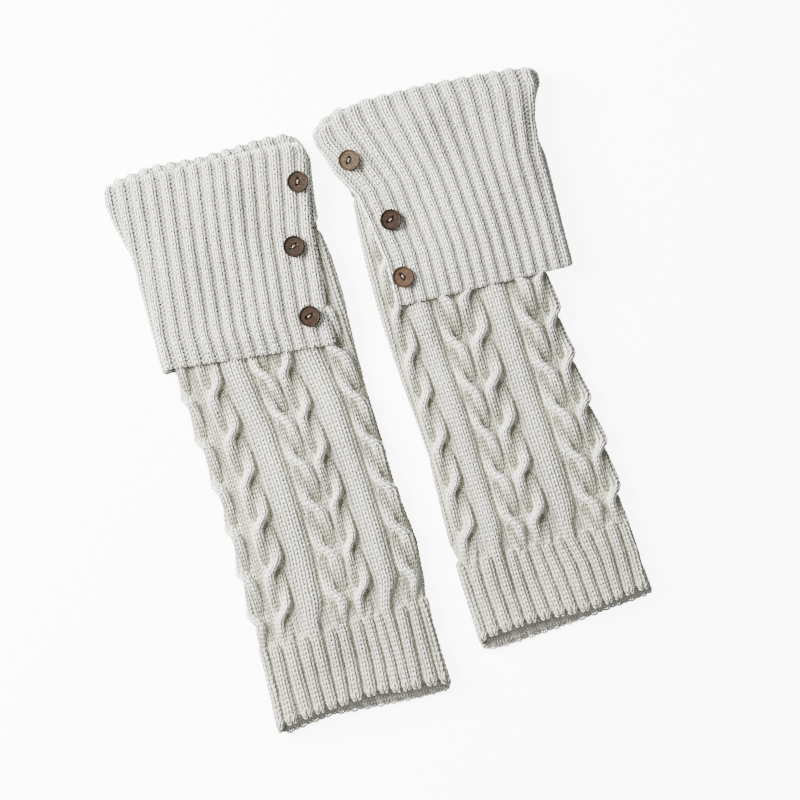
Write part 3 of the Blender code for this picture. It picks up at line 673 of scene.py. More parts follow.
def capped_tube(rings: int, around: int) -> Pair:
    """Faces of a tube whose corners are a pole, rings of corners and a pole.

    Args:
        rings: number of rings.
        around: corners in a ring.

    Returns:
        Corner numbers of all faces, and how many corners each face has.
    """
    now = np.arange(around)
    after = (now + 1) % around
    low = 1 + around * np.arange(rings - 1)[:, None]
    last = 1 + around * (rings - 1)
    start = np.stack([0 * now, 1 + now, 1 + after], axis=-1)
    belts = np.stack([low + now, low + around + now, low + around + after, low + after], axis=-1)
    end = np.stack([0 * now + last + around, last + after, last + now], axis=-1)
    return (np.concatenate([start.ravel(), belts.ravel(), end.ravel()]),
            np.repeat([3, 4, 3], [around, around * (rings - 1), around]))


def set_attribute(piece: Object, name: str, values: Array) -> None:
    """Store one number (n,) or one vector (n, 3) for each point of a piece."""
    kind = "FLOAT" if values.ndim == 1 else "FLOAT_VECTOR"
    attribute = piece.data.attributes.new(name, kind, "POINT")
    key = "value" if values.ndim == 1 else "vector"
    attribute.data.foreach_set(key, np.ascontiguousarray(values, dtype=np.float32).ravel())


class YarnLobes:
    """Collects lobes of yarn and makes one mesh of them.

    A lobe is a closed tapered tube: a pole, three rings and a pole.  Its centreline is
    given by five points at the stations, as shares of its usual length in mm, and its
    section is an ellipse that stands on the cloth.
    """

    STATIONS = np.array([0.0, 0.12, 0.5, 0.88, 1.0])
    FULLNESS = np.array([0.80, 1.0, 0.80])
    LENGTH = 4.3

    def __init__(self) -> None:
        self.lines: list[Array] = []
        self.faces: list[Array] = []
        self.sizes: list[Array] = []
        self.depths: list[Array] = []

    def add(self, lines: Array, faces: Array, width: Array, height: Array, depth: Array) -> None:
        """Add lobes.

        Args:
            lines: (n, 5, 3) centreline points in metres in the shared frame.
            faces: (n, 5, 3) directions in which the cloth looks there.
            width, height: (n,) half width and half height of each lobe in mm.
            depth: (n,) 0 on top of the relief to 1 in its valleys.
        """
        self.lines.append(lines)
        self.faces.append(faces)
        self.sizes.append(np.stack([width, height], axis=-1) * MM)
        self.depths.append(depth)

    def build(self, name: str, seed: int) -> Object:
        """Make the mesh of all lobes.

        Each ring is the centre plus cos(a) times the half width to the side plus sin(a)
        times the half height upwards, where the side is the cross product of the
        centreline's direction with the cloth's and the upward direction that of the
        side with the centreline.

        Args:
            name: the object's name.
            seed: start of the random tones.

        Returns:
            The object, with the attributes tone, depth and yarn.
        """
        lines = np.concatenate(self.lines)
        faces = np.concatenate(self.faces)
        sizes = np.concatenate(self.sizes)
        depths = np.concatenate(self.depths)
        count = len(lines)
        around = GAUGE.sides
        along = lines[:, 2:] - lines[:, :-2]
        along /= np.linalg.norm(along, axis=-1, keepdims=True) + 1e-12
        side = np.cross(along, faces[:, 1:-1])
        side /= np.linalg.norm(side, axis=-1, keepdims=True) + 1e-12
        up = np.cross(side, along)
        angle = math.pi / 2.0 + np.arange(around) * 2.0 * math.pi / around
        reach = self.FULLNESS[None, :, None] * sizes[:, None, :]
        rings = (lines[:, 1:-1, None, :]
                 + np.cos(angle)[:, None] * (side * reach[..., :1])[:, :, None, :]
                 + np.sin(angle)[:, None] * (up * reach[..., 1:])[:, :, None, :])
        points = np.concatenate([lines[:, :1], rings.reshape(count, -1, 3), lines[:, -1:]], axis=1)
        per_lobe = points.shape[1]
        pattern, lengths = capped_tube(rings.shape[1], around)
        loops = (np.arange(count)[:, None] * per_lobe + pattern[None, :]).ravel()
        piece = make_object(name, points.reshape(-1, 3), loops, np.tile(lengths, count))
        tones = np.random.default_rng(seed).uniform(-1.0, 1.0, count)
        set_attribute(piece, "tone", np.repeat(tones, per_lobe))
        set_attribute(piece, "depth", np.repeat(depths, per_lobe))
        twist = np.zeros((per_lobe, 3))
        twist[1:-1, 0] = np.repeat(self.STATIONS[1:-1], around) * self.LENGTH
        twist[-1, 0] = self.LENGTH
        twist[1:-1, 1] = np.tile(np.cos(angle), 3)
        twist[1:-1, 2] = np.tile(np.sin(angle), 3)
        set_attribute(piece, "yarn", np.tile(twist, (count, 1)))
        return piece


def make_shell(name: str, outer: Array, outer_knit: Array, inner: Array,
               inner_knit: Array, open_rows: int = 0) -> Object:
    """Make a closed wall from an outer and an inner grid of points.

    The grids' rows are joined into one loop, up the outer face and down the inner one.
    The columns close round into a tube, except in the first open_rows rows, where the
    wall ends in two edges that are closed between the faces.

    Args:
        name: the object's name.
        outer: (rows, columns, 3) points of the outer face, in metres.
        outer_knit: (rows, columns, 2) wales and courses at those points.
        inner, inner_knit: the same for the inner face, from the same hem up.
        open_rows: how many of the first rows of each face are split open.

    Returns:
        The object, with the UV map "knit".
    """
    points = np.concatenate([outer, inner[::-1]])
    cells = np.concatenate([outer_knit, inner_knit[::-1]])
    rows, columns = points.shape[:2]
    number = np.arange(rows * columns).reshape(rows, columns)
    ring = np.concatenate([number, number[:1]])
    quads = np.stack([ring[:-1, :-1], ring[:-1, 1:], ring[1:, 1:], ring[1:, :-1]], axis=-1).reshape(-1, 4)
    knit = cells.reshape(-1, 2)[quads]
    closed = slice(open_rows, rows - open_rows)
    number[closed, -1] = number[closed, 0]
    quads = number.ravel()[quads]
    low = np.arange(open_rows)
    high = rows - 1 - low
    for column, flip in ((0, 1), (-1, -1)):
        edge = np.stack([number[low[:-1], column], number[low[1:], column],
                         number[high[1:], column], number[high[:-1], column]], axis=-1)
        quads = np.concatenate([quads, edge[:, ::flip]])
        knit = np.concatenate([knit, np.zeros((len(edge), 4, 2))])
    used, loops = np.unique(quads.ravel(), return_inverse=True)
    piece = make_object(name, points.reshape(-1, 3)[used], loops.ravel(), np.full(len(quads), 4))
    layer = piece.data.uv_layers.new(name="knit")
    layer.data.foreach_set("uv", np.ascontiguousarray(knit, dtype=np.float32).ravel())
    set_attribute(piece, "depth", np.ones(len(used)))
    return piece


# ---------------------------------------------------------------- knitting

# Along a lobe: 0 to 1, -1 to 1, and an arch that is 0 at its ends and 1 in its middle.
SHARE = YarnLobes.STATIONS
REACH = 2.0 * SHARE - 1.0
BOW = np.sin(math.pi * SHARE)
# A wale's width on the leg as a share of half a strip's width.
WALE_SHARE = 0.44
# Faces that look further down than this, as the z of their direction, get no yarn.
LOWEST_LOOK = -0.55


def stitch_legs(rows: Array, width: float = 1.0) -> Triple:
    """Centrelines of both legs of every knit stitch of a wale.

    A stitch is a V: each leg starts a sixth of the wale's width from its middle, ends
    a third of it away and passes under the next stitch.

    Args:
        rows: (n,) where the stitches start along the cloth, in mm.
        width: the wale's width.

    Returns:
        Offsets from the wale's middle, places along the cloth and heights above the
        yarn's level, each (2n, 5): the left leg of the first stitch, its right one, ...
    """
    side = np.tile([-1.0, 1.0], len(rows))[:, None]
    offset = side * width * (0.16 + 0.18 * smooth(SHARE))
    along = np.repeat(rows, 2)[:, None] + GAUGE.course * (1.34 * SHARE - 0.14)
    return offset, along, np.broadcast_to([-0.12, 0.10, 0.18, 0.08, -0.22], along.shape)


def purl_arches(rows: Array, reach: float, shift: float, bend: float, low: float) -> Iterator[tuple]:
    """Purl stitches of a wale: two low arches across it for each row.

    Args:
        rows: (n,) where the stitches lie along the cloth, in mm.
        reach: how far an arch reaches across, as a share of the wale's width.
        shift: how far it lies from the wale's middle, as such a share.
        bend: how far its middle bends along the cloth, in mm.
        low: height of its ends, in mm.

    Yields:
        For each of the two, shares of the wale's width from its middle, places along
        the cloth and heights, each (n, 5) or (1, 5).
    """
    for part, side in ((0.0, -shift), (0.5, shift)):
        along = rows[:, None] + GAUGE.course * part + (bend * BOW)[None, :]
        yield (reach * (SHARE - 0.5) + side)[None, :], along, np.broadcast_to(low + 0.35 * BOW, along.shape)


def edge_loop(middle: float | Array, reach: float, level: float, bend: float, drop: float,
              rise: float = 0.2) -> Triple:
    """One loop of yarn round a piece's end.

    Args:
        middle: where its middle lies across the cloth.
        reach: how far it goes from there to either side.
        level: where its ends lie along the cloth, in mm.
        bend: how far its middle bends past them, towards the piece's end.
        drop: height of its ends.
        rise: how much higher its middle lies.

    Returns:
        Places across and along the cloth and heights, each (1, 5).
    """
    return (middle + reach * REACH)[None, :], (level - bend * BOW)[None, :], (drop + rise * BOW)[None, :]


def rows_between(low: float, high: float, offset: float = 0.0) -> Array:
    """Places of the knitting's rows from low to high, on one grid for all wales."""
    first = math.ceil((low - offset) / GAUGE.course)
    last = math.floor((high - offset) / GAUGE.course)
    return offset + GAUGE.course * np.arange(first, last + 1)


def rows_from_edge(edge: float, high: float) -> Array:
    """Evenly spaced rows from a piece's edge up to the common grid's last row below high."""
    last = GAUGE.course * math.floor(high / GAUGE.course)
    return np.linspace(edge, last, round((last - edge) / GAUGE.course) + 1)


def rib_middle(sizes: WarmerSizes, number: int, y: Array) -> Array:
    """Middle of a hem rib at y.  Ribs past the table's ends follow at an even pitch."""
    held = min(max(number, 0), len(sizes.hem_ribs[0]) - 2)
    return column_of(sizes.hem_ribs, y, held + 1) + GAUGE.rib_pitch * (number - held)


def rib_pitch(sizes: WarmerSizes, number: int, y: Array) -> Array:
    """Width of a hem rib with its share of the valleys beside it."""
    return (rib_middle(sizes, number + 1, y) - rib_middle(sizes, number - 1, y)) / 2.0


def wall_lift(relief: Array) -> Array:
    """Height of the wall against the cloth's surface: it lies deeper below raised parts."""
    return -GAUGE.wall_depth + 0.3 * (1.0 - np.clip(relief / 2.0, 0.0, 1.0))


class PatternUnit:
    """One strip of the leg's pattern, which draws in to one rib above the hem.

    KEPT, STRAND, COVERED and EDGE are shares of half its width: the inner part that
    keeps its width, half a strand, how near to the upper strand's middle the lower one
    gets no yarn, and the edge over which a cable falls to 0.  NARROWED is by how much
    the rest draws in above the hem, and TIGHT by how much a strand at a crossing.
    """

    KEPT = 0.27
    STRAND = 0.56
    COVERED = 0.42
    EDGE = 0.14
    NARROWED = 0.70
    TIGHT = 0.18

    def __init__(self, sizes: WarmerSizes, number: int) -> None:
        self.sizes = sizes
        self.number = number
        self.kind, self.rib = sizes.pattern[number]

    def frame(self, y: Array) -> Triple:
        """The strip's middle and half width at y, and how far it has become a rib."""
        left = column_of(self.sizes.pattern_bounds, y, self.number + 1)
        right = column_of(self.sizes.pattern_bounds, y, self.number + 2)
        drawn = smooth((RELIEF.funnel_top - y) / RELIEF.funnel_length)
        middle = (left + right) / 2.0
        return middle + (rib_middle(self.sizes, self.rib, y) - middle) * drawn, (right - left) / 2.0, drawn

    @staticmethod
    def squeeze(offset: Array, half: Array, drawn: Array, back: bool = False) -> Array:
        """Draw the outer part of a strip in towards its middle, or undo that.

        The inner quarter keeps its width, and what lies beyond it is narrowed.
        """
        size = np.abs(offset)
        inner = PatternUnit.KEPT * half
        ratio = 1.0 - PatternUnit.NARROWED * drawn
        beyond = np.maximum(size - inner, 0.0) * (1.0 / ratio if back else ratio)
        return np.sign(offset) * (np.minimum(size, inner) + beyond)

    def crossing_share(self, row: Array, y: Array) -> Pair:
        """Where y lies in the crossing nearest to a row, and how near it is to it.

        Args:
            row: places whose nearest crossings are meant, in mm along the cloth.
            y: places to be told.

        Returns:
            A share of the crossing from -0.5 to 0.5, and 1 at it to 0 between two.
        """
        period = RELIEF.cable_period
        first = self.sizes.first_crossing
        away = y - (first - period * np.round((first - row) / period))
        return np.clip(away / RELIEF.crossing, -0.5, 0.5), np.cos(math.pi * np.clip(away / period, -0.5, 0.5))

    def strand(self, role: int, offset: Array, half: Array, share: Array, near: Array) -> Pair:
        """Place and height of a point of a cable's strand.

        The strand's middle swings along a sine from one side of the cable to the other.
        It rises towards the crossing that it passes over and sinks towards the one that
        it passes under.  Between crossings its inner side is lower, so both strands
        make one dished panel.

        Args:
            role: +1 for the strand that passes over, -1 for the other.
            offset: mm from the strand's middle.
            half: half the cable's width.
            share: share of the crossing, from -0.5 to 0.5.
            near: 1 at the crossing to 0 between two.

        Returns:
            Distance from the cable's middle and height.
        """
        lean = -1.0 if self.kind is UnitKind.CABLE_FALLING else 1.0
        side = np.sin(math.pi * share) * lean * role
        rise = RELIEF.cable_over * near if role > 0 else -RELIEF.cable_under * near
        place = offset / (0.5 * half)
        outer = smooth(0.5 + 1.5 * place * side)
        round_off = 0.72 * np.abs(place) ** 2.3 * (outer + (1.0 - outer) * near)
        dish = RELIEF.cable_dish * (1.0 - near) * smooth(0.5 - 0.7 * place * np.sign(side))
        height = (RELIEF.cable + rise) * np.clip(1.0 - round_off - dish, 0.0, 1.0)
        return WALE_SHARE * half * side + offset * self.narrowing(near), height

    @staticmethod
    def narrowing(near: Array) -> Array:
        """Width of a strand as a share of its usual one: it is tight at a crossing."""
        return 1.0 - PatternUnit.TIGHT * near

    def column_height(self, offset: Array, half: Array, drawn: Array) -> Array:
        """Height of a column, which is round and passes into the height of a rib."""
        top = RELIEF.column + (RELIEF.hem_rib - RELIEF.column) * drawn
        return top * (1.0 - np.clip(np.abs(offset / half), 0.0, 1.0) ** 2.1)

    def relief_at(self, across: Array, y: Array) -> Array:
        """Height of the strip's surface at places across the cloth, and 0 beside it."""
        if self.kind is UnitKind.RECESS:
            return np.zeros_like(across)
        middle, half, drawn = self.frame(y)
        offset = self.squeeze(across - middle, half, drawn, back=True)
        if self.kind is UnitKind.COLUMN:
            return self.column_height(offset, half, drawn)
        share, near = self.crossing_share(y, y)
        best = np.zeros_like(across)
        for role in (1, -1):
            centre, _ = self.strand(role, np.zeros_like(share), half, share, near)
            _, height = self.strand(role, (offset - centre) / self.narrowing(near), half, share, near)
            best = np.maximum(best, np.where(np.abs(offset - centre) < self.STRAND * half, height, 0.0))
        edge = np.clip(1.0 - np.abs(offset / half), 0.0, 1.0)
        return best * smooth(edge / self.EDGE)


class Knitting:
    """What the yarn of a leg and of a cuff have in common: it is a little irregular."""

    def __init__(self, cloth: Cloth, seeds: tuple[int, int]) -> None:
        self.cloth = cloth
        self.sizes = cloth.sizes
        self.random = np.random.default_rng(seeds[0] if cloth.sizes.button_side > 0 else seeds[1])

    def wander(self, across: Array, along: Array, height: Array, unit: float = 1.0) -> Triple:
        """Move each lobe a little at random.

        Args:
            across, along, height: (n, 5) places and heights above the relief.
            unit: how many mm there are in one of across.

        Returns:
            The places, and how far the yarn's middle lies above the relief.
        """
        move = self.random.normal(0.0, GAUGE.wander, (len(across), 3))
        lift = height - GAUGE.yarn_depth + GAUGE.wander_up * move[:, 2:]
        return across + move[:, :1] / unit, along + move[:, 1:2], lift

    def add_shown(self, yarn: YarnLobes, points: Array, faces: Array, shown: Array,
                  width: float, depth: Array) -> None:
        """Add the lobes that show, each a little thicker or thinner than the next.

        Args:
            yarn: what they are added to.
            points, faces: (n, 5, 3) centrelines in mm and directions of the cloth.
            shown: (n,) which of them show.
            width: half width of the yarn in mm.
            depth: (n,) 0 on top of the relief to 1 in its valleys.
        """
        size = self.random.normal(1.0, GAUGE.spread, int(shown.sum()))
        yarn.add(self.cloth.to_row_frame(points[shown]), faces[shown], width * size,
                 GAUGE.yarn_height * size, depth[shown])


class LegKnitting(Knitting):
    """All the yarn on a leg: cables, columns, purl valleys, hem ribs and edges.

    Yarn runs UNDER_CUFF mm in below the cuff and has no painted valley shade from
    LIT_RELIEF mm up.  The walls' rows are some mm apart, and their columns are counted.
    """

    RIBS = range(-2, 17)
    UNDER_CUFF = 4.0
    LIT_RELIEF = 3.3
    INSIDE_LOOK = 0.2
    WALL_ROW = 2.8
    INNER_ROW = 7.0
    FRONT_COLUMNS = 108
    BACK_COLUMNS = 25

    def __init__(self, cloth: LegCloth) -> None:
        super().__init__(cloth, (11, 23))
        self.hem = cloth.hem
        self.units = [PatternUnit(cloth.sizes, number) for number in range(len(cloth.sizes.pattern))]
        self.unit_ribs = {unit.rib for unit in self.units if unit.kind is not UnitKind.RECESS}
        self.top = cloth.sizes.split_top + 4.0

    def rib_top(self, number: int) -> float:
        """Where a hem rib starts: at a strip of the pattern, or as a rounded finger."""
        return RELIEF.funnel_end + 2.0 if number in self.unit_ribs else self.sizes.finger_top

    def rib_shape(self, number: int, y: Array) -> Triple:
        """Middle and half pitch of a hem rib at y, and how full it is near a finger's top."""
        half = rib_pitch(self.sizes, number, y) / 2.0
        full = np.ones_like(half)
        if number not in self.unit_ribs:
            past = np.clip((y - self.sizes.finger_top) / RELIEF.finger_round + 1.0, 0.0, 1.0)
            full = np.sqrt(1.0 - past * past)
        return rib_middle(self.sizes, number, y), half, full

    def rib_height(self, place: Array, full: Array) -> Array:
        """Height of a rib at a place from -1 to 1 across it."""
        return RELIEF.hem_rib * np.sqrt(full) * (1.0 - np.clip(np.abs(place) / 0.93, 0.0, 1.0) ** 2.5)

    def relief(self, across: Array, y: Array) -> Array:
        """Height of the whole leg's relief: the highest strip or rib at each place."""
        relief = np.zeros_like(across)
        above = smooth((y - RELIEF.funnel_end + 4.0) / 3.0)
        for unit in self.units:
            relief = np.maximum(relief, unit.relief_at(across, y) * above)
        for number in self.RIBS:
            middle, half, full = self.rib_shape(number, y)
            started = smooth((self.rib_top(number) - y) / 1.5)
            height = self.rib_height((across - middle) / (half * np.maximum(full, 0.05)), full)
            relief = np.maximum(relief, height * started)
        return relief

    def put(self, yarn: YarnLobes, across: Array, y: Array, height: Array, width: float,
            relief: Array | None = None, keep: Array | None = None, inner: bool = False,
            tint: float = 0.0) -> None:
        """Place lobes on the leg and drop those that the cuff or the underside hides.

        Args:
            yarn: what the lobes are added to.
            across, y, height: (n, 5) places and heights above the relief.
            width: half width of the yarn in mm.
            relief: (n, 5) height of the pattern, where it isn't 0.
            keep: (n,) which lobes to keep, where it isn't all of them.
            inner: whether they lie on the face inside the tube.
            tint: how much more painted shade the yarn gets than its height gives.
        """
        relief = np.zeros_like(across) if relief is None else relief
        across, y, lift = self.wander(across, y, height)
        points, faces = self.cloth.surface(across, y, relief, lift, inner)
        points[..., 2] = np.maximum(points[..., 2], GAUGE.yarn_height)
        shown = faces[:, 2, 2] > (self.INSIDE_LOOK if inner else LOWEST_LOOK)
        if not inner:
            shown &= self.cloth.clear_of_cuff(points[:, 2, 0], points[:, 2, 1]) > -self.UNDER_CUFF
        if keep is not None:
            shown &= keep
        # Painted shade by depth: more where the relief is low, and a little on the yarn inside the mouth.
        depth = 1.0 + tint - np.clip(relief[:, 2] / self.LIT_RELIEF, 0.0, 1.0)
        if inner:
            depth = np.full(len(shown), 0.2)
        self.add_shown(yarn, points, faces, shown, width, depth)

    def add_unit(self, yarn: YarnLobes, unit: PatternUnit) -> None:
        """Add the stitches of one strip of the pattern: four knit wales or two of purl.

        Above the hem the two inner knit wales run on into a rib, and the outer two sink
        beside them and end.
        """
        rows = rows_between(RELIEF.funnel_end, self.top)
        if unit.kind is UnitKind.RECESS:
            rows = rows[rows > self.sizes.finger_top - 2.0]
            # The sunk strip's purl yarn gets extra painted shade (0.35).
            for place in (-0.45, 0.45):
                self.add_purl(yarn, lambda y, place=place: unit.frame(y)[0] + place * unit.frame(y)[1],
                              rows, 3.1, 0.35)
            return
        column = unit.kind is UnitKind.COLUMN
        from_middle, y, height = stitch_legs(rows)
        middle, half, drawn = unit.frame(y)
        share, near = unit.crossing_share(np.repeat(rows, 2)[:, None] + GAUGE.course / 2.0, y)
        width = GAUGE.yarn_width * WALE_SHARE * float(half.mean()) / GAUGE.wale
        for role in (1,) if column else (1, -1):
            for wale in (-1.5, -0.5, 0.5, 1.5) if column else (-0.5, 0.5):
                offset = (from_middle + wale) * WALE_SHARE * half
                keep = None
                if column:
                    relief = unit.column_height(offset, half, drawn)
                else:
                    offset, relief = unit.strand(role, offset, half, share, near)
                if role < 0:
                    over, _ = unit.strand(1, np.zeros_like(share), half, share, near)
                    keep = (np.abs(offset - over) >= unit.COVERED * half)[:, 2]
                relief = relief - 1.1 * drawn * (np.abs(offset) > 0.35 * half)
                across = middle + unit.squeeze(offset, half, drawn)
                self.put(yarn, across, y, height, width, relief, keep)

    def add_purl(self, yarn: YarnLobes, place: Callable, rows: Array, width: float,
                 tint: float = 0.0) -> None:
        """Add a wale of purl stitches.

        Args:
            yarn: what the lobes are added to.
            place: function that gives the wale's middle at y.
            rows: where the stitches lie.
            width: the wale's width in mm.
            tint: how much more painted shade the yarn gets than elsewhere.
        """
        for share, y, height in purl_arches(rows, 0.72, 0.22, 0.45, -0.60):
            self.put(yarn, place(y) + width * share, y, height, GAUGE.purl_width, tint=tint)

    def add_ribs(self, yarn: YarnLobes) -> None:
        """Add the hem's ribs: two knit wales each, and a purl wale between two."""
        for number in self.RIBS:
            offset, y, height = stitch_legs(rows_from_edge(self.hem + 3.4, self.rib_top(number) - 1.6))
            middle, half, full = self.rib_shape(number, y)
            for wale in (-0.5, 0.5):
                place = (wale + offset) * 0.80
                self.put(yarn, middle + half * full * place, y, height, GAUGE.yarn_width,
                         self.rib_height(place, full))
            rows = rows_from_edge(self.hem + 0.9, min(self.rib_top(number), self.rib_top(number + 1)))
            self.add_purl(yarn, lambda y: (rib_middle(self.sizes, number, y)
                                           + rib_middle(self.sizes, number + 1, y)) / 2.0, rows, 2.3)

    def add_hem_edge(self, yarn: YarnLobes) -> None:
        """Add the cast-on edge of the ribs and of the valleys between them.

        On each rib's end the strands of its two wales close in to a V, with a small
        hole between them, and loops turn round the edge below them.
        """
        for number in self.RIBS:
            middle, half, full = self.rib_shape(number, np.array([self.hem]))
            for side in (-1.0, 1.0):
                for far, near, low in ((0.42, 0.10, 0.7), (0.80, 0.32, -0.1)):
                    spot = side * (far + (near - far) * SHARE ** 1.4)[None, :]
                    line = (self.hem + low + 4.4 * (1.0 - SHARE))[None, :]
                    height = np.array([[-0.4, 0.1, 0.2, 0.0, -0.4]])
                    self.put(yarn, middle + half * spot, line, height, 0.72, self.rib_height(spot, full))
            for start in (-0.40, 0.40):
                for level, drop in ((0.5, -0.9), (0.5, -1.9), (0.9, -2.9)):
                    spot, line, height = edge_loop(start, 0.32, self.hem + level, 0.9, drop)
                    self.put(yarn, middle + half * spot, line, height, GAUGE.loop_width,
                             self.rib_height(spot, full))
            for drop in (-0.7, -1.9):
                self.put(yarn, *edge_loop(middle + half, 1.5, self.hem + 0.9, 0.5, drop),
                         GAUGE.valley_loop_width)

    def add_inside(self, yarn: YarnLobes) -> None:
        """Add the knitting that shows inside the open mouth, on the back layer."""
        wale_width = GAUGE.rib_pitch / 2.0
        left, right = (float(edge) for edge in self.cloth.edges(np.array(self.hem)))
        flat = right - left - LAYERS.leg_height - LAYERS.mouth_gap
        first = right + LAYERS.leg_height + 2.0
        rows = rows_from_edge(self.hem + 0.6, self.hem + 14.0)
        offset, y, height = stitch_legs(rows, 0.42 * GAUGE.rib_pitch)
        for wale in range(int(flat / wale_width) + 2):
            purl = wale % 2
            low = -0.4 - 0.8 * purl
            across = first + wale_width * wale + offset
            self.put(yarn, across, y, height + low + 0.3, GAUGE.inside_width, inner=True)
            for drop in (0.3, -0.9, -2.0):
                spot, line, level = edge_loop(wale, 0.62, self.hem + 0.3 + 0.4 * purl, 0.9, low + drop, 0.0)
                self.put(yarn, first + wale_width * spot, line, level, GAUGE.loop_width, inner=True)

    def build(self) -> list[Object]:
        """Make the yarn of the leg as three pieces: cables, columns and valleys, and hem."""
        cables, columns, hem = YarnLobes(), YarnLobes(), YarnLobes()
        for unit in self.units:
            self.add_unit(columns if unit.kind in (UnitKind.COLUMN, UnitKind.RECESS) else cables, unit)
        rows = rows_between(self.sizes.finger_top - 2.0, self.top)
        for left, right in zip(self.units, self.units[1:]):
            if UnitKind.RECESS not in (left.kind, right.kind):
                self.add_purl(columns, lambda y, left=left: left.frame(y)[0] + left.frame(y)[1], rows, 2.4)
        self.add_ribs(hem)
        self.add_hem_edge(hem)
        self.add_inside(hem)
        parts = (("cables", cables), ("columns", columns), ("hem", hem))
        return [yarn.build(f"leg_{self.sizes.name}_{part}_yarn", seed)
                for seed, (part, yarn) in enumerate(parts, 31)]

    def build_wall(self) -> Object:
        """Make the leg's closed wall, with the relief a yarn's depth below the yarn."""
        cloth = self.cloth
        open_part = np.arange(cloth.hem, self.top, self.WALL_ROW)
        rows = np.concatenate([open_part, np.linspace(open_part[-1] + 6.0, cloth.seam, 8)])
        inner_rows = np.concatenate([np.arange(cloth.hem, cloth.seam - 4.0, self.INNER_ROW), [cloth.seam]])
        bounds = np.array(self.sizes.pattern_bounds)
        front = np.linspace(bounds[:, 1].min() - 4.0, bounds[:, -1].max() + 4.0, self.FRONT_COLUMNS)

        def face(levels: Array, inner: bool) -> Pair:
            """Points and knit coordinates of one face of the wall."""
            edge_left, edge_right = cloth.edges(levels)
            bottom, top = cloth.heights(levels)
            radius = (top - bottom) / 2.0
            around = 2.0 * (edge_right - edge_left - 2.0 * radius) + 2.0 * math.pi * radius
            share = np.linspace(0.0, 1.0, self.BACK_COLUMNS + 1)[1:]
            rest = front[-1] + share[None, :] * (around[:, None] - (front[-1] - front[0]))
            across = np.hstack([np.broadcast_to(front, (len(levels), len(front))), rest])
            y = np.broadcast_to(levels[:, None], across.shape)
            relief = lift = np.zeros_like(across)
            if not inner:
                relief = self.relief(across, y)
                lift = (wall_lift(relief) + 0.2) * (1.0 - smooth((y - self.sizes.split_top) / 20.0))
            points, faces = cloth.surface(across, y, relief, lift, inner, 1.0)
            if not inner:
                points[..., 2] -= GAUGE.wall_depth * (faces[..., 2] < -0.9)
                points[..., 2] = np.maximum(points[..., 2], 0.0)
            return cloth.to_row_frame(points), np.stack([across / GAUGE.wale, y / GAUGE.course], axis=-1)

        return make_shell(f"leg_{self.sizes.name}_cloth", *face(rows, False), *face(inner_rows, True))


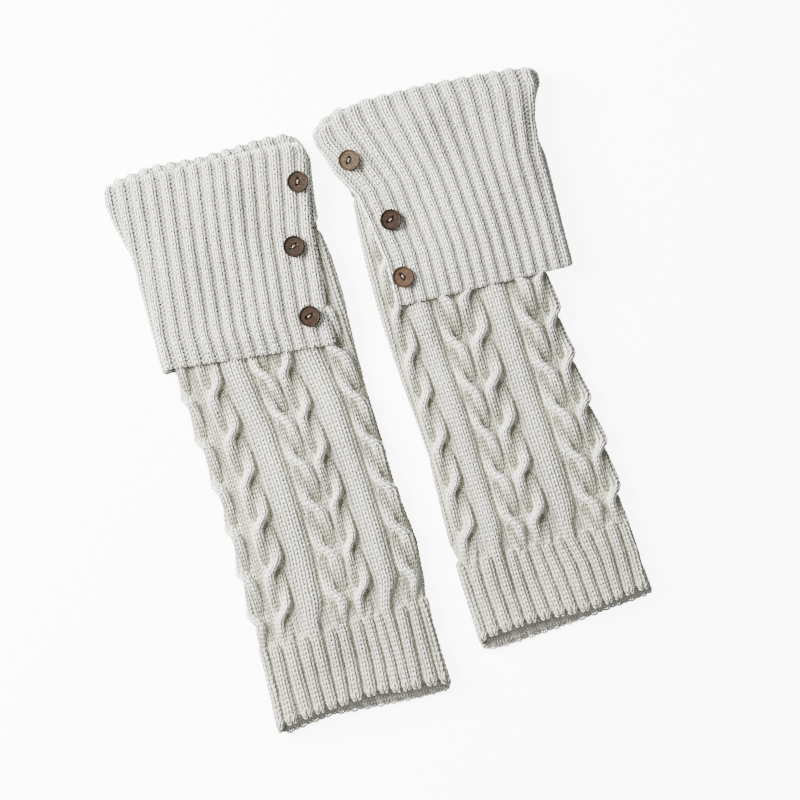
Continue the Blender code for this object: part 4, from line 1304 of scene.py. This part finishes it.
class CuffKnitting(Knitting):
    """All the yarn on a cuff: its ribs, the fold, the hem's and the split's edges.

    RIBS_BEFORE lie past the split's front edge, and RIBS after it, of which FRONT_RIBS
    show their ends.  A button presses the yarn below it down to PRESSED_HEIGHT.
    """

    RIBS_BEFORE = 3
    FRONT_RIBS = 17
    RIBS = 34
    SPLIT_ROWS = 34
    BACK_COLUMNS = 24
    WALES_PER_TURN = 35.0
    RIB_MM = 9.5
    PRESSED_HEIGHT = 14.9
    PRESSED_RADIUS = 7.9

    def __init__(self, cloth: CuffCloth) -> None:
        super().__init__(cloth, (37, 53))
        self.first = cloth.sizes.first_cuff_rib

    def wale_width(self, rib: Array | int) -> Array:
        """Width of a knit wale in ribs: the valleys are wider away from the buttons."""
        return np.interp(rib, [1.0, 5.0, 14.0], [0.375, 0.34, 0.30])

    def rib_height(self, place: Array, way: Array) -> Array:
        """Height of a rib at a place from -1 to 1 across its two wales."""
        end = 0.65 + 0.35 * smooth(way / 5.0)
        return RELIEF.cuff_rib * end * (1.0 - np.clip(np.abs(place) / 1.08, 0.0, 1.0) ** 2.3)

    def relief(self, step: Array, way: Array) -> Array:
        """Height of all ribs, at steps and ways."""
        rib = np.round(step - self.first)
        place = (step - self.first - rib) / self.wale_width(rib)
        edge = smooth((step + 0.1) / 0.25) if self.first < 0.9 else np.ones_like(step)
        return self.rib_height(place, way) * np.where(way < self.cloth.split_way, edge, 1.0)

    def end_reach(self, relief: Array, way: Array) -> Array:
        """How far what stands up reaches past the hem, in mm."""
        return RELIEF.cuff_scallop * relief / RELIEF.cuff_rib * smooth(1.0 - way / RELIEF.end_length)

    def put(self, yarn: YarnLobes, step: Array, way: Array, height: Array,
            width: float, relief: Array | None = None) -> None:
        """Place lobes on the cuff and drop those that lie on the floor or past the split.

        Args:
            yarn: what the lobes are added to.
            step, way, height: (n, 5) places and heights above the relief.
            width: half width of the yarn in mm.
            relief: (n, 5) relief where it isn't that of the ribs.
        """
        step, way, lift = self.wander(step, way, height, self.RIB_MM)
        relief = self.relief(step, way) if relief is None else relief
        points, faces = self.cloth.surface(step, way - self.end_reach(relief, way), relief, lift)
        pressed = np.minimum(points[..., 2], self.PRESSED_HEIGHT)
        points[..., 2] = np.where(self.under_button(points), pressed, points[..., 2])
        middle_step, middle_way = step[:, 2], way[:, 2]
        shown = faces[:, 2, 2] > LOWEST_LOOK
        shown &= (middle_step > -0.02) | (middle_way > self.cloth.split_way)
        first_turn = self.cloth.turn_of(np.array(-float(self.RIBS_BEFORE)), middle_way)
        shown &= self.cloth.turn_of(middle_step, middle_way) > first_turn - 4.0
        # Painted shade by depth: none on the ribs' tops, more towards the valleys.
        depth = 0.45 - 0.45 * np.clip(relief[:, 2] / RELIEF.cuff_rib, 0.0, 1.0)
        self.add_shown(yarn, points, faces, shown, width, depth)

    def under_button(self, points: Array) -> Array:
        """Whether points in the leg warmer's frame lie below a button, which presses them flat."""
        away = [np.hypot(points[..., 0] - self.sizes.button_side * across, points[..., 1] - y)
                for across, y, _ in self.sizes.buttons]
        return np.min(away, axis=0) < self.PRESSED_RADIUS

    def add_ribs(self, yarn: YarnLobes, purl: YarnLobes) -> None:
        """Add two knit wales for each rib and a purl wale in each valley."""
        end = self.cloth.length + self.cloth.fold_length + 12.0
        for rib in range(-self.RIBS_BEFORE, self.RIBS):
            rows = rows_between(-0.1 if rib < self.FRONT_RIBS else self.cloth.length - 3.0, end, 0.3)
            width = float(self.wale_width(rib))
            offset, way, height = stitch_legs(rows, width)
            for wale in (-0.5, 0.5):
                place = wale * width + offset
                self.put(yarn, self.first + rib + place, way, height, GAUGE.yarn_width * 0.92,
                         self.rib_height(place / width, way))
            for share, way, height in purl_arches(rows, 0.80, 0.18, 0.4, -0.32):
                step = self.first + rib + 0.5 + (1.0 - 2.0 * width) * share
                self.put(purl, np.broadcast_to(step, way.shape), way, height, GAUGE.purl_width,
                         np.zeros_like(way))

    def add_edges(self, yarn: YarnLobes) -> None:
        """Add the cast-off loops round the ends of ribs and valleys and the split's selvage."""
        for rib in range(self.FRONT_RIBS):
            width = float(self.wale_width(rib))
            for start in (-0.5, 0.5):
                for level, drop in ((0.6, -0.35), (0.4, -1.5), (0.2, -2.5), (0.0, -3.5), (-0.2, -4.5)):
                    place, way, height = edge_loop(start, 0.40, level, 0.9, drop)
                    self.put(yarn, self.first + rib + place * width, way, height, GAUGE.loop_width,
                             self.rib_height(place, way))
            for level, drop in ((0.8, -0.7), (0.3, -1.8), (-0.2, -2.8)):
                step, way, height = edge_loop(self.first + rib + 0.5, 0.19, level, 0.5, drop)
                self.put(yarn, step, way, height, GAUGE.valley_loop_width, np.zeros_like(way))
        rows = rows_between(0.5, self.cloth.split_way)
        way = rows[:, None] + GAUGE.course * (1.3 * SHARE - 0.15)[None, :]
        for drop in (-0.5, -1.7):
            self.put(yarn, np.broadcast_to(0.03 - 0.05 * BOW, way.shape), way, np.full_like(way, drop),
                     GAUGE.inside_width)

    def build(self) -> list[Object]:
        """Make the yarn of the cuff as two pieces: ribs, and valleys with the edges."""
        ribs, rest = YarnLobes(), YarnLobes()
        self.add_ribs(ribs, rest)
        self.add_edges(rest)
        name = self.sizes.name
        return [ribs.build(f"cuff_{name}_ribs_yarn", 71), rest.build(f"cuff_{name}_edges_yarn", 72)]

    def build_wall(self) -> Object:
        """Make the cuff's closed wall, split open at the button side up to the split's top.

        Each row's columns run from the split's front edge over the front and the far
        side, and then on in even turns under the back to the split's back edge.
        """
        cloth = self.cloth
        split = cloth.split_way
        fold_end = cloth.length + cloth.fold_length
        ways = np.concatenate([
            np.linspace(0.0, split, self.SPLIT_ROWS), np.linspace(split + 3.0, cloth.length, 18),
            cloth.length + cloth.fold_length * np.linspace(0.1, 1.0, 10),
            np.linspace(fold_end + 3.0, cloth.way_end, 3),
        ])
        step, way_of_step = np.meshgrid(np.linspace(0.0, 16.0, 97), ways)
        turns = cloth.turn_of(step, way_of_step)
        closed_end = turns[:, 0] - 4.0
        split_end = -1.9 - 0.1 * ways / split
        closing = smooth((ways / split - 0.84) / 0.16)
        back_end = np.where(ways <= split, split_end + (closed_end - split_end) * closing, closed_end)
        back_end[self.SPLIT_ROWS - 1] = closed_end[self.SPLIT_ROWS - 1]
        share = np.linspace(0.0, 1.0, self.BACK_COLUMNS + 1)[1:]
        rest = turns[:, -1:] + share[None, :] * (back_end[:, None] - turns[:, -1:])
        turn = np.hstack([turns, rest])
        relief = np.hstack([self.relief(step, way_of_step), np.zeros_like(rest)])
        way = np.broadcast_to(ways[:, None], turn.shape)
        way = way + 0.6 * smooth(1.0 - way / RELIEF.end_length) - self.end_reach(relief, way)

        def face(inner: bool) -> list[Array]:
            """Points and knit coordinates of one face of the wall."""
            points, looks = cloth.surface_at(turn, way, inner=inner)
            if not inner:
                lift = relief * underside_fade(looks[..., 2]) + wall_lift(relief)
                points, _ = cloth.surface_at(turn, way, lift)
                points[..., 2] = np.where(looks[..., 2] < -0.9, 0.0, np.maximum(points[..., 2], 0.0))
            knit = np.stack([turn * self.WALES_PER_TURN, way / GAUGE.course], axis=-1)
            return [grid[:, ::self.sizes.button_side] for grid in (cloth.to_row_frame(points), knit)]

        return make_shell(f"cuff_{self.sizes.name}_cloth", *face(False), *face(True), self.SPLIT_ROWS)


# ---------------------------------------------------------------- finishes


def linear(hex_colour: str) -> tuple[float, float, float, float]:
    """Turn an sRGB hex colour into linear values with full opacity."""
    parts = [int(hex_colour[i:i + 2], 16) / 255.0 for i in (1, 3, 5)]
    return (*(p / 12.92 if p <= 0.04045 else ((p + 0.055) / 1.055) ** 2.4 for p in parts), 1.0)


class Shading:
    """A material while it is made: its nodes and the shader that they lead to."""

    def __init__(self, name: str) -> None:
        self.material = bpy.data.materials.new(name)
        self.material.use_nodes = True
        self.shader = self.material.node_tree.nodes["Principled BSDF"]
        self.place = self.add("TexCoord", {}, "Object")

    def fill(self, node: Node, inputs: dict) -> None:
        """Give a node's inputs, by name or number, their values or their links."""
        for key, value in inputs.items():
            if isinstance(value, NodeSocket):
                self.material.node_tree.links.new(value, node.inputs[key])
            else:
                node.inputs[key].default_value = value

    def add(self, kind: str, inputs: dict, output: str | int = 0, **settings: object) -> NodeSocket:
        """Add a shader node.

        Args:
            kind: its Blender type name after "ShaderNode".
            inputs: values or output sockets for its inputs, by name or number.
            output: which of its outputs is wanted.
            settings: its own properties.

        Returns:
            That output.
        """
        node = self.material.node_tree.nodes.new("ShaderNode" + kind)
        for key, value in settings.items():
            setattr(node, key, value)
        self.fill(node, inputs)
        return node.outputs[output]

    def maths(self, operation: str, *values: object) -> NodeSocket:
        """Work out a number from others."""
        return self.add("Math", dict(enumerate(values)), operation=operation)

    def remap(self, value: NodeSocket, old: tuple[float, float],
              new: tuple[float, float] = (0.0, 1.0)) -> NodeSocket:
        """Turn the range old of a number into the range new, held at its ends."""
        return self.add("MapRange", {"Value": value, "From Min": old[0], "From Max": old[1],
                                     "To Min": new[0], "To Max": new[1]})

    def noise(self, vector: NodeSocket, scale: float, detail: float = 2.0,
              roughness: float = 0.5) -> NodeSocket:
        """Cloudy noise from 0 to 1, with scale waves to the unit of the vector."""
        return self.add("TexNoise", {"Vector": vector, "Scale": scale, "Detail": detail,
                                     "Roughness": roughness}, "Fac")

    def blend(self, share: NodeSocket, first: str, second: str) -> NodeSocket:
        """Go from one hex colour to another as share goes from 0 to 1."""
        return self.add("Mix", {"Factor": share, 6: linear(first), 7: linear(second)}, 2, data_type="RGBA")

    def scaled(self, colour: object, share: NodeSocket) -> NodeSocket:
        """Multiply a colour by a number."""
        return self.add("VectorMath", {0: colour, "Scale": share}, operation="SCALE")

    def finish(self, height: NodeSocket, strength: float, depth: float, inputs: dict) -> Material:
        """Give the shader its bump and its other inputs.

        Args:
            height: the bump's height from 0 to 1.
            strength: the bump's strength.
            depth: mm from the bump's lowest to its highest.
            inputs: what else the shader takes.

        Returns:
            The finished material.
        """
        bump = self.add("Bump", {"Height": height, "Strength": strength, "Distance": depth * MM})
        self.fill(self.shader, {"Normal": bump, **inputs})
        return self.material


@dataclass(frozen=True)
class YarnFinish:
    """Soft acrylic knitting yarn.

    The eye gets an ivory with acrylic's soft lustre and a slight halo of fine fibres
    (sheen), plies that wind round each strand, tiny differences from stitch to stitch,
    and painted shade, a greyer olive, down each yarn's flanks and in the valleys.
    """

    name: str = "ivory acrylic yarn"
    top: str = "#FAF9F3"
    # valley is the colour of the painted shade in the valleys and down the yarn's flanks.
    valley: str = "#8B8A74"
    painted_valley_shade: float = 0.95
    painted_flank_shade: float = 0.38
    ply_turns_per_mm: float = 0.45
    fibre_mm: float = 0.22

    def build(self) -> Material:
        """Make the material from the attributes tone, depth and yarn.

        The painted shade is the depth's share and the flank's, which falls off to the strand's
        crest.  The plies are a wave round the strand that winds on along it.
        """
        shading = Shading(self.name)
        tone = shading.add("Attribute", {}, "Fac", attribute_name="tone")
        depth = shading.add("Attribute", {}, "Fac", attribute_name="depth")
        yarn = shading.add("Attribute", {}, "Vector", attribute_name="yarn")
        along, cosine, sine = shading.add("SeparateXYZ", {0: yarn}).node.outputs
        # Painted shade: darker down each yarn's flanks and, by depth, in the low parts of the relief.
        flank = shading.remap(sine, (0.35, 1.0), (self.painted_flank_shade, 0.0))
        base = shading.blend(shading.maths("MULTIPLY_ADD", depth, self.painted_valley_shade, flank),
                             self.top, self.valley)
        lightness = shading.maths("MULTIPLY_ADD", tone, 0.035, 0.965)
        cloud = shading.remap(shading.noise(shading.place, 45.0, 3.0), (0.3, 0.7), (0.955, 1.03))
        wind = shading.maths("MULTIPLY", along, 2.0 * math.pi * self.ply_turns_per_mm)
        side = shading.maths("MULTIPLY", shading.maths("SINE", wind), cosine)
        ply = shading.maths("MULTIPLY_ADD", shading.maths("COSINE", wind), sine, side)
        fibre = shading.noise(shading.place, 1.0 / (self.fibre_mm * MM * 4.0), 4.0, 0.7)
        return shading.finish(shading.maths("MULTIPLY_ADD", ply, 0.35, fibre), 0.55, 0.35, {
            "Base Color": shading.scaled(base, shading.maths("MULTIPLY", lightness, cloud)),
            "Roughness": 0.58, "Specular IOR Level": 0.6, "Sheen Weight": 0.35,
            "Sheen Roughness": 0.45, "Sheen Tint": linear("#FFFDF6")})


@dataclass(frozen=True)
class GroundFinish:
    """The knitting below the top yarns, and the plain inner face and underside.

    The eye gets a darker colour, painted shade, for the yarn between the stitches, and
    where nothing lies on it rows of small V stitches from the cloth's own coordinates,
    with painted shade that follows their height.
    """

    name: str = "ivory knitted ground"
    # A darker ivory: painted shade for the yarn deep between the stitches.
    colour: str = "#CAC7B7"

    def build(self) -> Material:
        """Make the material: V stitches are rows shifted by the distance from the wale's middle."""
        shading = Shading(self.name)
        knit = shading.add("UVMap", {}, uv_map="knit")
        wale, course, _ = shading.add("SeparateXYZ", {0: knit}).node.outputs
        away = shading.maths("ABSOLUTE", shading.maths("SUBTRACT", shading.maths("FRACT", wale), 0.5))
        leg = shading.maths("SINE", shading.maths("MULTIPLY", away, 2.0 * math.pi))
        shifted = shading.maths("MULTIPLY_ADD", away, -0.9, course)
        wave = shading.maths("SINE", shading.maths("MULTIPLY", shifted, 2.0 * math.pi))
        height = shading.maths("MULTIPLY_ADD", wave, 0.35, leg)
        # Painted shade: the V stitches darker where they lie low.
        shade = shading.remap(height, (-0.3, 1.3), (0.78, 1.04))
        tint = shading.maths("MULTIPLY_ADD", shading.noise(shading.place, 60.0), 0.10, 0.95)
        return shading.finish(height, 0.9, 0.8, {
            "Base Color": shading.scaled(linear(self.colour)[:3], shading.maths("MULTIPLY", shade, tint)),
            "Roughness": 0.95, "Specular IOR Level": 0.15, "Sheen Weight": 0.25})


@dataclass(frozen=True)
class WoodFinish:
    """Turned dark wood of a button.

    The eye gets a satin brown with short darker pores and paler flecks along the grain,
    and painted shade at the foot of the rim, down its outer edge and in an eye round the
    two holes.
    """

    name: str
    light: str
    dark: str
    grain_turn: float

    def build(self, middle: tuple, hole_turn: float) -> Material:
        """Make the material from noise that is drawn out along the grain.

        Args:
            middle: the button's middle in metres in the shared frame.
            hole_turn: direction of the line through both holes, in radians.

        Returns:
            The material, with painted shade in an ellipse round the two holes.
        """
        shading = Shading(self.name)
        grain = shading.add("Mapping", {"Vector": shading.place, "Rotation": (0.0, 0.0, self.grain_turn),
                                        "Scale": (260.0, 1300.0, 600.0)})
        streaks = shading.noise(grain, 1.0, 5.0, 0.65)
        pores = shading.add("TexVoronoi", {"Vector": grain, "Scale": 0.8}, "Distance")
        # Painted shade at the foot of the rim and down its outer edge, from the button's outline.
        painted_rim_shade = shading.add("Attribute", {}, "Fac", attribute_name="painted_rim_shade")
        # Painted shade in an eye round the two holes.
        eye = shading.add("Mapping", {
            "Vector": shading.place, "Location": middle, "Rotation": (0.0, 0.0, hole_turn),
            "Scale": (3.1 * MM, 1.9 * MM, 1.0)}, vector_type="TEXTURE")
        reach = shading.add("VectorMath", {0: eye}, "Value", operation="LENGTH")
        colour = shading.blend(shading.remap(streaks, (0.32, 0.68)), self.dark, self.light)
        for shade in (shading.remap(pores, (0.08, 0.30), (0.45, 1.0)),
                      shading.remap(painted_rim_shade, (0.0, 1.0), (1.0, 0.15)),
                      shading.remap(reach, (0.85, 1.1), (0.3, 1.0))):
            colour = shading.scaled(colour, shade)
        return shading.finish(streaks, 0.35, 0.1, {"Base Color": colour, "Roughness": 0.6,
                                                   "Specular IOR Level": 0.12})


@dataclass(frozen=True)
class FloorFinish:
    """Opal acrylic sheet, lit from below: an almost white ground with pale soft shadows."""

    name: str = "opal acrylic sheet"
    colour: str = "#FBFBFB"
    glow: float = 8.0

    def build(self) -> Material:
        """Make the material, with a faint even grain."""
        shading = Shading(self.name)
        white = linear(self.colour)
        return shading.finish(shading.noise(shading.place, 900.0), 0.05, 0.1, {
            "Base Color": white, "Emission Color": white, "Emission Strength": self.glow,
            "Roughness": 0.9})


# ---------------------------------------------------------------- buttons


@dataclass(frozen=True)
class ButtonSizes:
    """A two-hole button and its thread, in mm.

    The outline's rows run from the top's middle over the rim to the underside: how far
    inside the rim, how far below the top and how much painted shade darkens the wood.
    """

    diameter: float = 15.0
    thickness: float = 2.6
    dish: float = 0.75
    hole: float = 1.9
    hole_spacing: float = 3.6
    hole_sides: int = 20
    rest_height: float = 15.9
    segments: int = 56
    strand_width: float = 0.24
    strand_height: float = 0.30
    outline: tuple = (
        (7.5, 0.75, 0.0), (5.5, 0.75, 0.0), (3.5, 0.72, 0.0), (2.0, 0.62, 0.0), (1.6, 0.62, 0.1),
        (1.3, 0.60, 0.9), (1.1, 0.30, 0.7), (0.9, 0.04, 0.0), (0.65, 0.0, 0.0), (0.4, 0.08, 0.4),
        (0.15, 0.3, 0.9), (0.0, 0.8, 1.0), (0.05, 2.1, 1.0), (0.5, 2.52, 1.0), (1.2, 2.6, 1.0),
        (7.5, 2.6, 1.0),
    )


class WoodButton:
    """One sewn-on button with its twist of yarn."""

    def __init__(self, cloth: Cloth, number: int, sizes: ButtonSizes) -> None:
        self.cloth = cloth
        self.number = number
        self.sizes = sizes
        across, along, hole_turn = cloth.sizes.buttons[number]
        self.middle = np.array([cloth.sizes.button_side * across, along, sizes.rest_height])
        self.hole_turn = math.radians(hole_turn)
        self.name = f"button_{cloth.sizes.name}_{number + 1}"

    @staticmethod
    def circle(radius: Array, height: Array, sides: int) -> Array:
        """Points (n, sides, 3) on level circles with the radii and heights (n, 1)."""
        angle = np.arange(sides) * 2.0 * math.pi / sides
        return np.stack([radius * np.cos(angle), radius * np.sin(angle),
                         np.broadcast_to(height, (len(height), sides))], axis=-1)

    def build(self) -> Object:
        """Turn the outline round, close its middle points and pierce it twice."""
        inside, below, dark = np.array(self.sizes.outline).T
        radius = (self.sizes.diameter / 2.0 - inside)[:, None]
        height = (self.sizes.thickness - below)[:, None]
        count = self.sizes.segments
        rings = self.circle(radius, height, count)
        points = np.concatenate([rings[0, :1], rings[1:-1].reshape(-1, 3), rings[-1, :1]])
        placed = self.cloth.to_row_frame(points + self.middle)
        piece = make_object(f"{self.name}_wood", placed, *capped_tube(len(rings) - 2, count))
        # The outline's last column is painted shade at the rim, handed to the wood's material.
        set_attribute(piece, "painted_rim_shade", np.repeat(dark, [1, *[count] * (len(rings) - 2), 1]))
        for side in (-1.0, 1.0):
            self.pierce(piece, side)
        return piece

    def hole_place(self, side: float) -> Array:
        """Middle of one hole in the leg warmer's frame, at the button's underside."""
        reach = side * self.sizes.hole_spacing / 2.0
        return self.middle + reach * np.array([math.cos(self.hole_turn), math.sin(self.hole_turn), 0.0])

    def pierce(self, piece: Object, side: float) -> None:
        """Cut one round hole through the button and keep the result as its mesh."""
        count = self.sizes.hole_sides
        radius = np.full((2, 1), self.sizes.hole / 2.0)
        tube = self.circle(radius, np.array([[-2.0], [6.0]]), count).reshape(-1, 3)
        now = np.arange(count)
        after = (now + 1) % count
        walls = np.stack([now, after, count + after, count + now], axis=-1)
        loops = np.concatenate([walls.ravel(), now[::-1], count + now])
        lengths = np.repeat([4, count], [count, 2])
        cutter = make_object("hole", self.cloth.to_row_frame(tube + self.hole_place(side)), loops, lengths)
        cut = piece.modifiers.new("hole", "BOOLEAN")
        cut.operation = "DIFFERENCE"
        cut.object = cutter
        graph = bpy.context.evaluated_depsgraph_get()
        cut_mesh = bpy.data.meshes.new_from_object(piece.evaluated_get(graph))
        piece.modifiers.clear()
        piece.data = cut_mesh
        bpy.data.objects.remove(cutter, do_unlink=True)

    def build_thread(self) -> Object:
        """Make the twist of yarn: two strands that arch from one hole to the other."""
        first, last = (self.hole_place(side) for side in (-1.0, 1.0))
        along = last - first
        side = np.array([-along[1], along[0], 0.0]) / np.linalg.norm(along)
        reach = (SHARE - 0.5) * 0.86 + 0.5
        faces = np.tile([0.0, 0.0, 1.0], (1, 5, 1))
        width, height, depth = (np.array([value]) for value in
                                (self.sizes.strand_width, self.sizes.strand_height, 0.0))
        thread = YarnLobes()
        for offset, rise in ((-0.14, 1.45), (0.14, 1.55)):
            line = first + reach[:, None] * along + side * offset * (0.35 + BOW)[:, None]
            line[:, 2] += self.sizes.thickness - self.sizes.dish - 0.9 + rise * BOW ** 0.7
            thread.add(self.cloth.to_row_frame(line)[None], faces, width, height, depth)
        return thread.build(f"{self.name}_thread", 90 + self.number)


# ---------------------------------------------------------------- assembly


def hand_over(piece: Object, finish: Material, node: str = "") -> None:
    """Give a piece its finish, hide the solid that it replaces and hang it on the root body.

    Args:
        piece: the piece.
        finish: its material.
        node: the solid that it replaces, if it does.
    """
    piece.data.materials.clear()
    piece.data.materials.append(finish)
    if node:
        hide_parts(node)
    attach(piece, "root")
    piece.data.calc_loop_triangles()
    log.info("%s: %d triangles", piece.name, len(piece.data.loop_triangles))


class LegWarmer:
    """One leg warmer: leg, cuff and three buttons."""

    LEG_FLAT = (0.262, 0.384)
    CUFF_FLAT = (0.290, 0.168)

    def __init__(self, sizes: WarmerSizes) -> None:
        self.sizes = sizes
        self.leg = LegKnitting(LegCloth(sizes))
        self.cuff = CuffKnitting(CuffCloth(sizes))

    def build(self, yarn: Material, twist: Material, ground: Material,
              woods: list[WoodFinish], floor: Object) -> None:
        """Make all pieces, give them their finishes, hide the solids that they replace and hang them on the
        root body.

        Args:
            yarn, twist, ground: materials of the yarn, the buttons' thread and the walls.
            woods: a finish for each button.
            floor: what the cloth rests on; not used.
        """
        name = self.sizes.name
        leg = f"leg_{name}_cloth"
        for part, knitting, slot, flat, lies, rests in (
                ("leg", self.leg, "cable_knit", self.LEG_FLAT, "laid", [floor]),
                ("cuff", self.cuff, "rib_knit", self.CUFF_FLAT, "folded", [floor, leg])):
            wall = knitting.build_wall()
            pieces = knitting.build()
            hand_over(wall, ground, f"{part}_{name}")
            for piece in pieces:
                hand_over(piece, yarn)
        for number, wood_finish in enumerate(woods):
            button = WoodButton(self.cuff.cloth, number, ButtonSizes())
            wood = button.build()
            thread = button.build_thread()
            middle = tuple(float(value) for value in button.cloth.to_row_frame(button.middle))
            finish = wood_finish.build(middle, button.hole_turn + math.radians(self.sizes.turn))
            hand_over(wood, finish, button.name)
            hand_over(thread, twist)


@dataclass(frozen=True)
class Studio:
    """The floor, the light and the camera, in metres and watts.

    The camera looks straight down at look_at and sees a square of the field's width at
    the height of the surface.
    """

    look_at: tuple[float, float] = (0.0023, -0.00255)
    surface: float = 0.010
    field: float = 0.560
    height: float = 1.10
    turn: float = -16.25
    key_power: float = 168.0
    key_size: float = 0.90
    key_colour: tuple = (1.0, 0.992, 0.975)
    key_place: tuple = (-1.08, 0.78, 0.74)
    sky: float = 0.54
    sky_colour: tuple = (0.97, 0.985, 1.0, 1.0)
    floor_half: float = 3.0
    floor_level: float = -0.0003

    def build_floor(self) -> Object:
        """Make the floor just below the cloth.  Its glow doesn't light the cloth."""
        half, low = self.floor_half, self.floor_level
        points = [(-half, -half, low), (half, -half, low), (half, half, low), (-half, half, low)]
        floor = make_object("floor", np.array(points), np.arange(4), np.array([4]))
        floor.data.materials.append(FloorFinish().build())
        floor.visible_diffuse = False
        floor.visible_glossy = False
        return floor

    def build_light(self) -> None:
        """Make a large soft light at the picture's upper left, and an even sky."""
        light = bpy.data.lights.new("key", "AREA")
        light.energy = self.key_power
        light.size = self.key_size
        light.color = self.key_colour
        lamp = bpy.data.objects.new("key", light)
        bpy.context.scene.collection.objects.link(lamp)
        lamp.location = self.key_place
        lamp.rotation_euler = (-Vector(lamp.location)).to_track_quat("-Z", "Y").to_euler()
        world = bpy.data.worlds.new("soft sky")
        world.use_nodes = True
        sky = world.node_tree.nodes["Background"]
        sky.inputs["Color"].default_value = self.sky_colour
        sky.inputs["Strength"].default_value = self.sky
        bpy.context.scene.world = world

    def build_camera(self) -> None:
        """Make the camera straight above, turned as the picture is."""
        data = bpy.data.cameras.new("camera")
        data.sensor_width = 36.0
        data.lens = data.sensor_width * (self.height - self.surface) / self.field
        camera = bpy.data.objects.new("camera", data)
        camera.location = (*self.look_at, self.height)
        camera.rotation_euler = (0.0, 0.0, math.radians(self.turn))
        bpy.context.scene.collection.objects.link(camera)
        bpy.context.scene.camera = camera


def main() -> None:
    """Build both leg warmers, the floor, the light and the camera."""
    logging.basicConfig(level=logging.INFO, format="%(message)s")
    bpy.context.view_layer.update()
    studio = Studio()
    floor = studio.build_floor()
    yarn = YarnFinish().build()
    # The twist's second colour is the colour of its painted shade.
    twist = YarnFinish("beige sewing twist", "#D3BC9F", "#8E7D66").build()
    ground = GroundFinish().build()
    woods = {
        LEFT: [WoodFinish("dark brown wood 1", "#42352A", "#231B15", 0.5),
               WoodFinish("dark brown wood 2", "#3B2D22", "#1F1712", 1.1),
               WoodFinish("dark brown wood 3", "#3D2E23", "#211813", 2.0)],
        RIGHT: [WoodFinish("mid brown wood 1", "#625241", "#3B3026", 0.3),
                WoodFinish("mid brown wood 2", "#3B2D22", "#211813", 1.6),
                WoodFinish("reddish brown wood", "#594435", "#34271F", 2.5)],
    }
    for sizes, finishes in woods.items():
        LegWarmer(sizes).build(yarn, twist, ground, finishes, floor)
        log.info("leg warmer %s is built", sizes.name)
    studio.build_light()
    studio.build_camera()


if __name__ == "__main__":
    main()
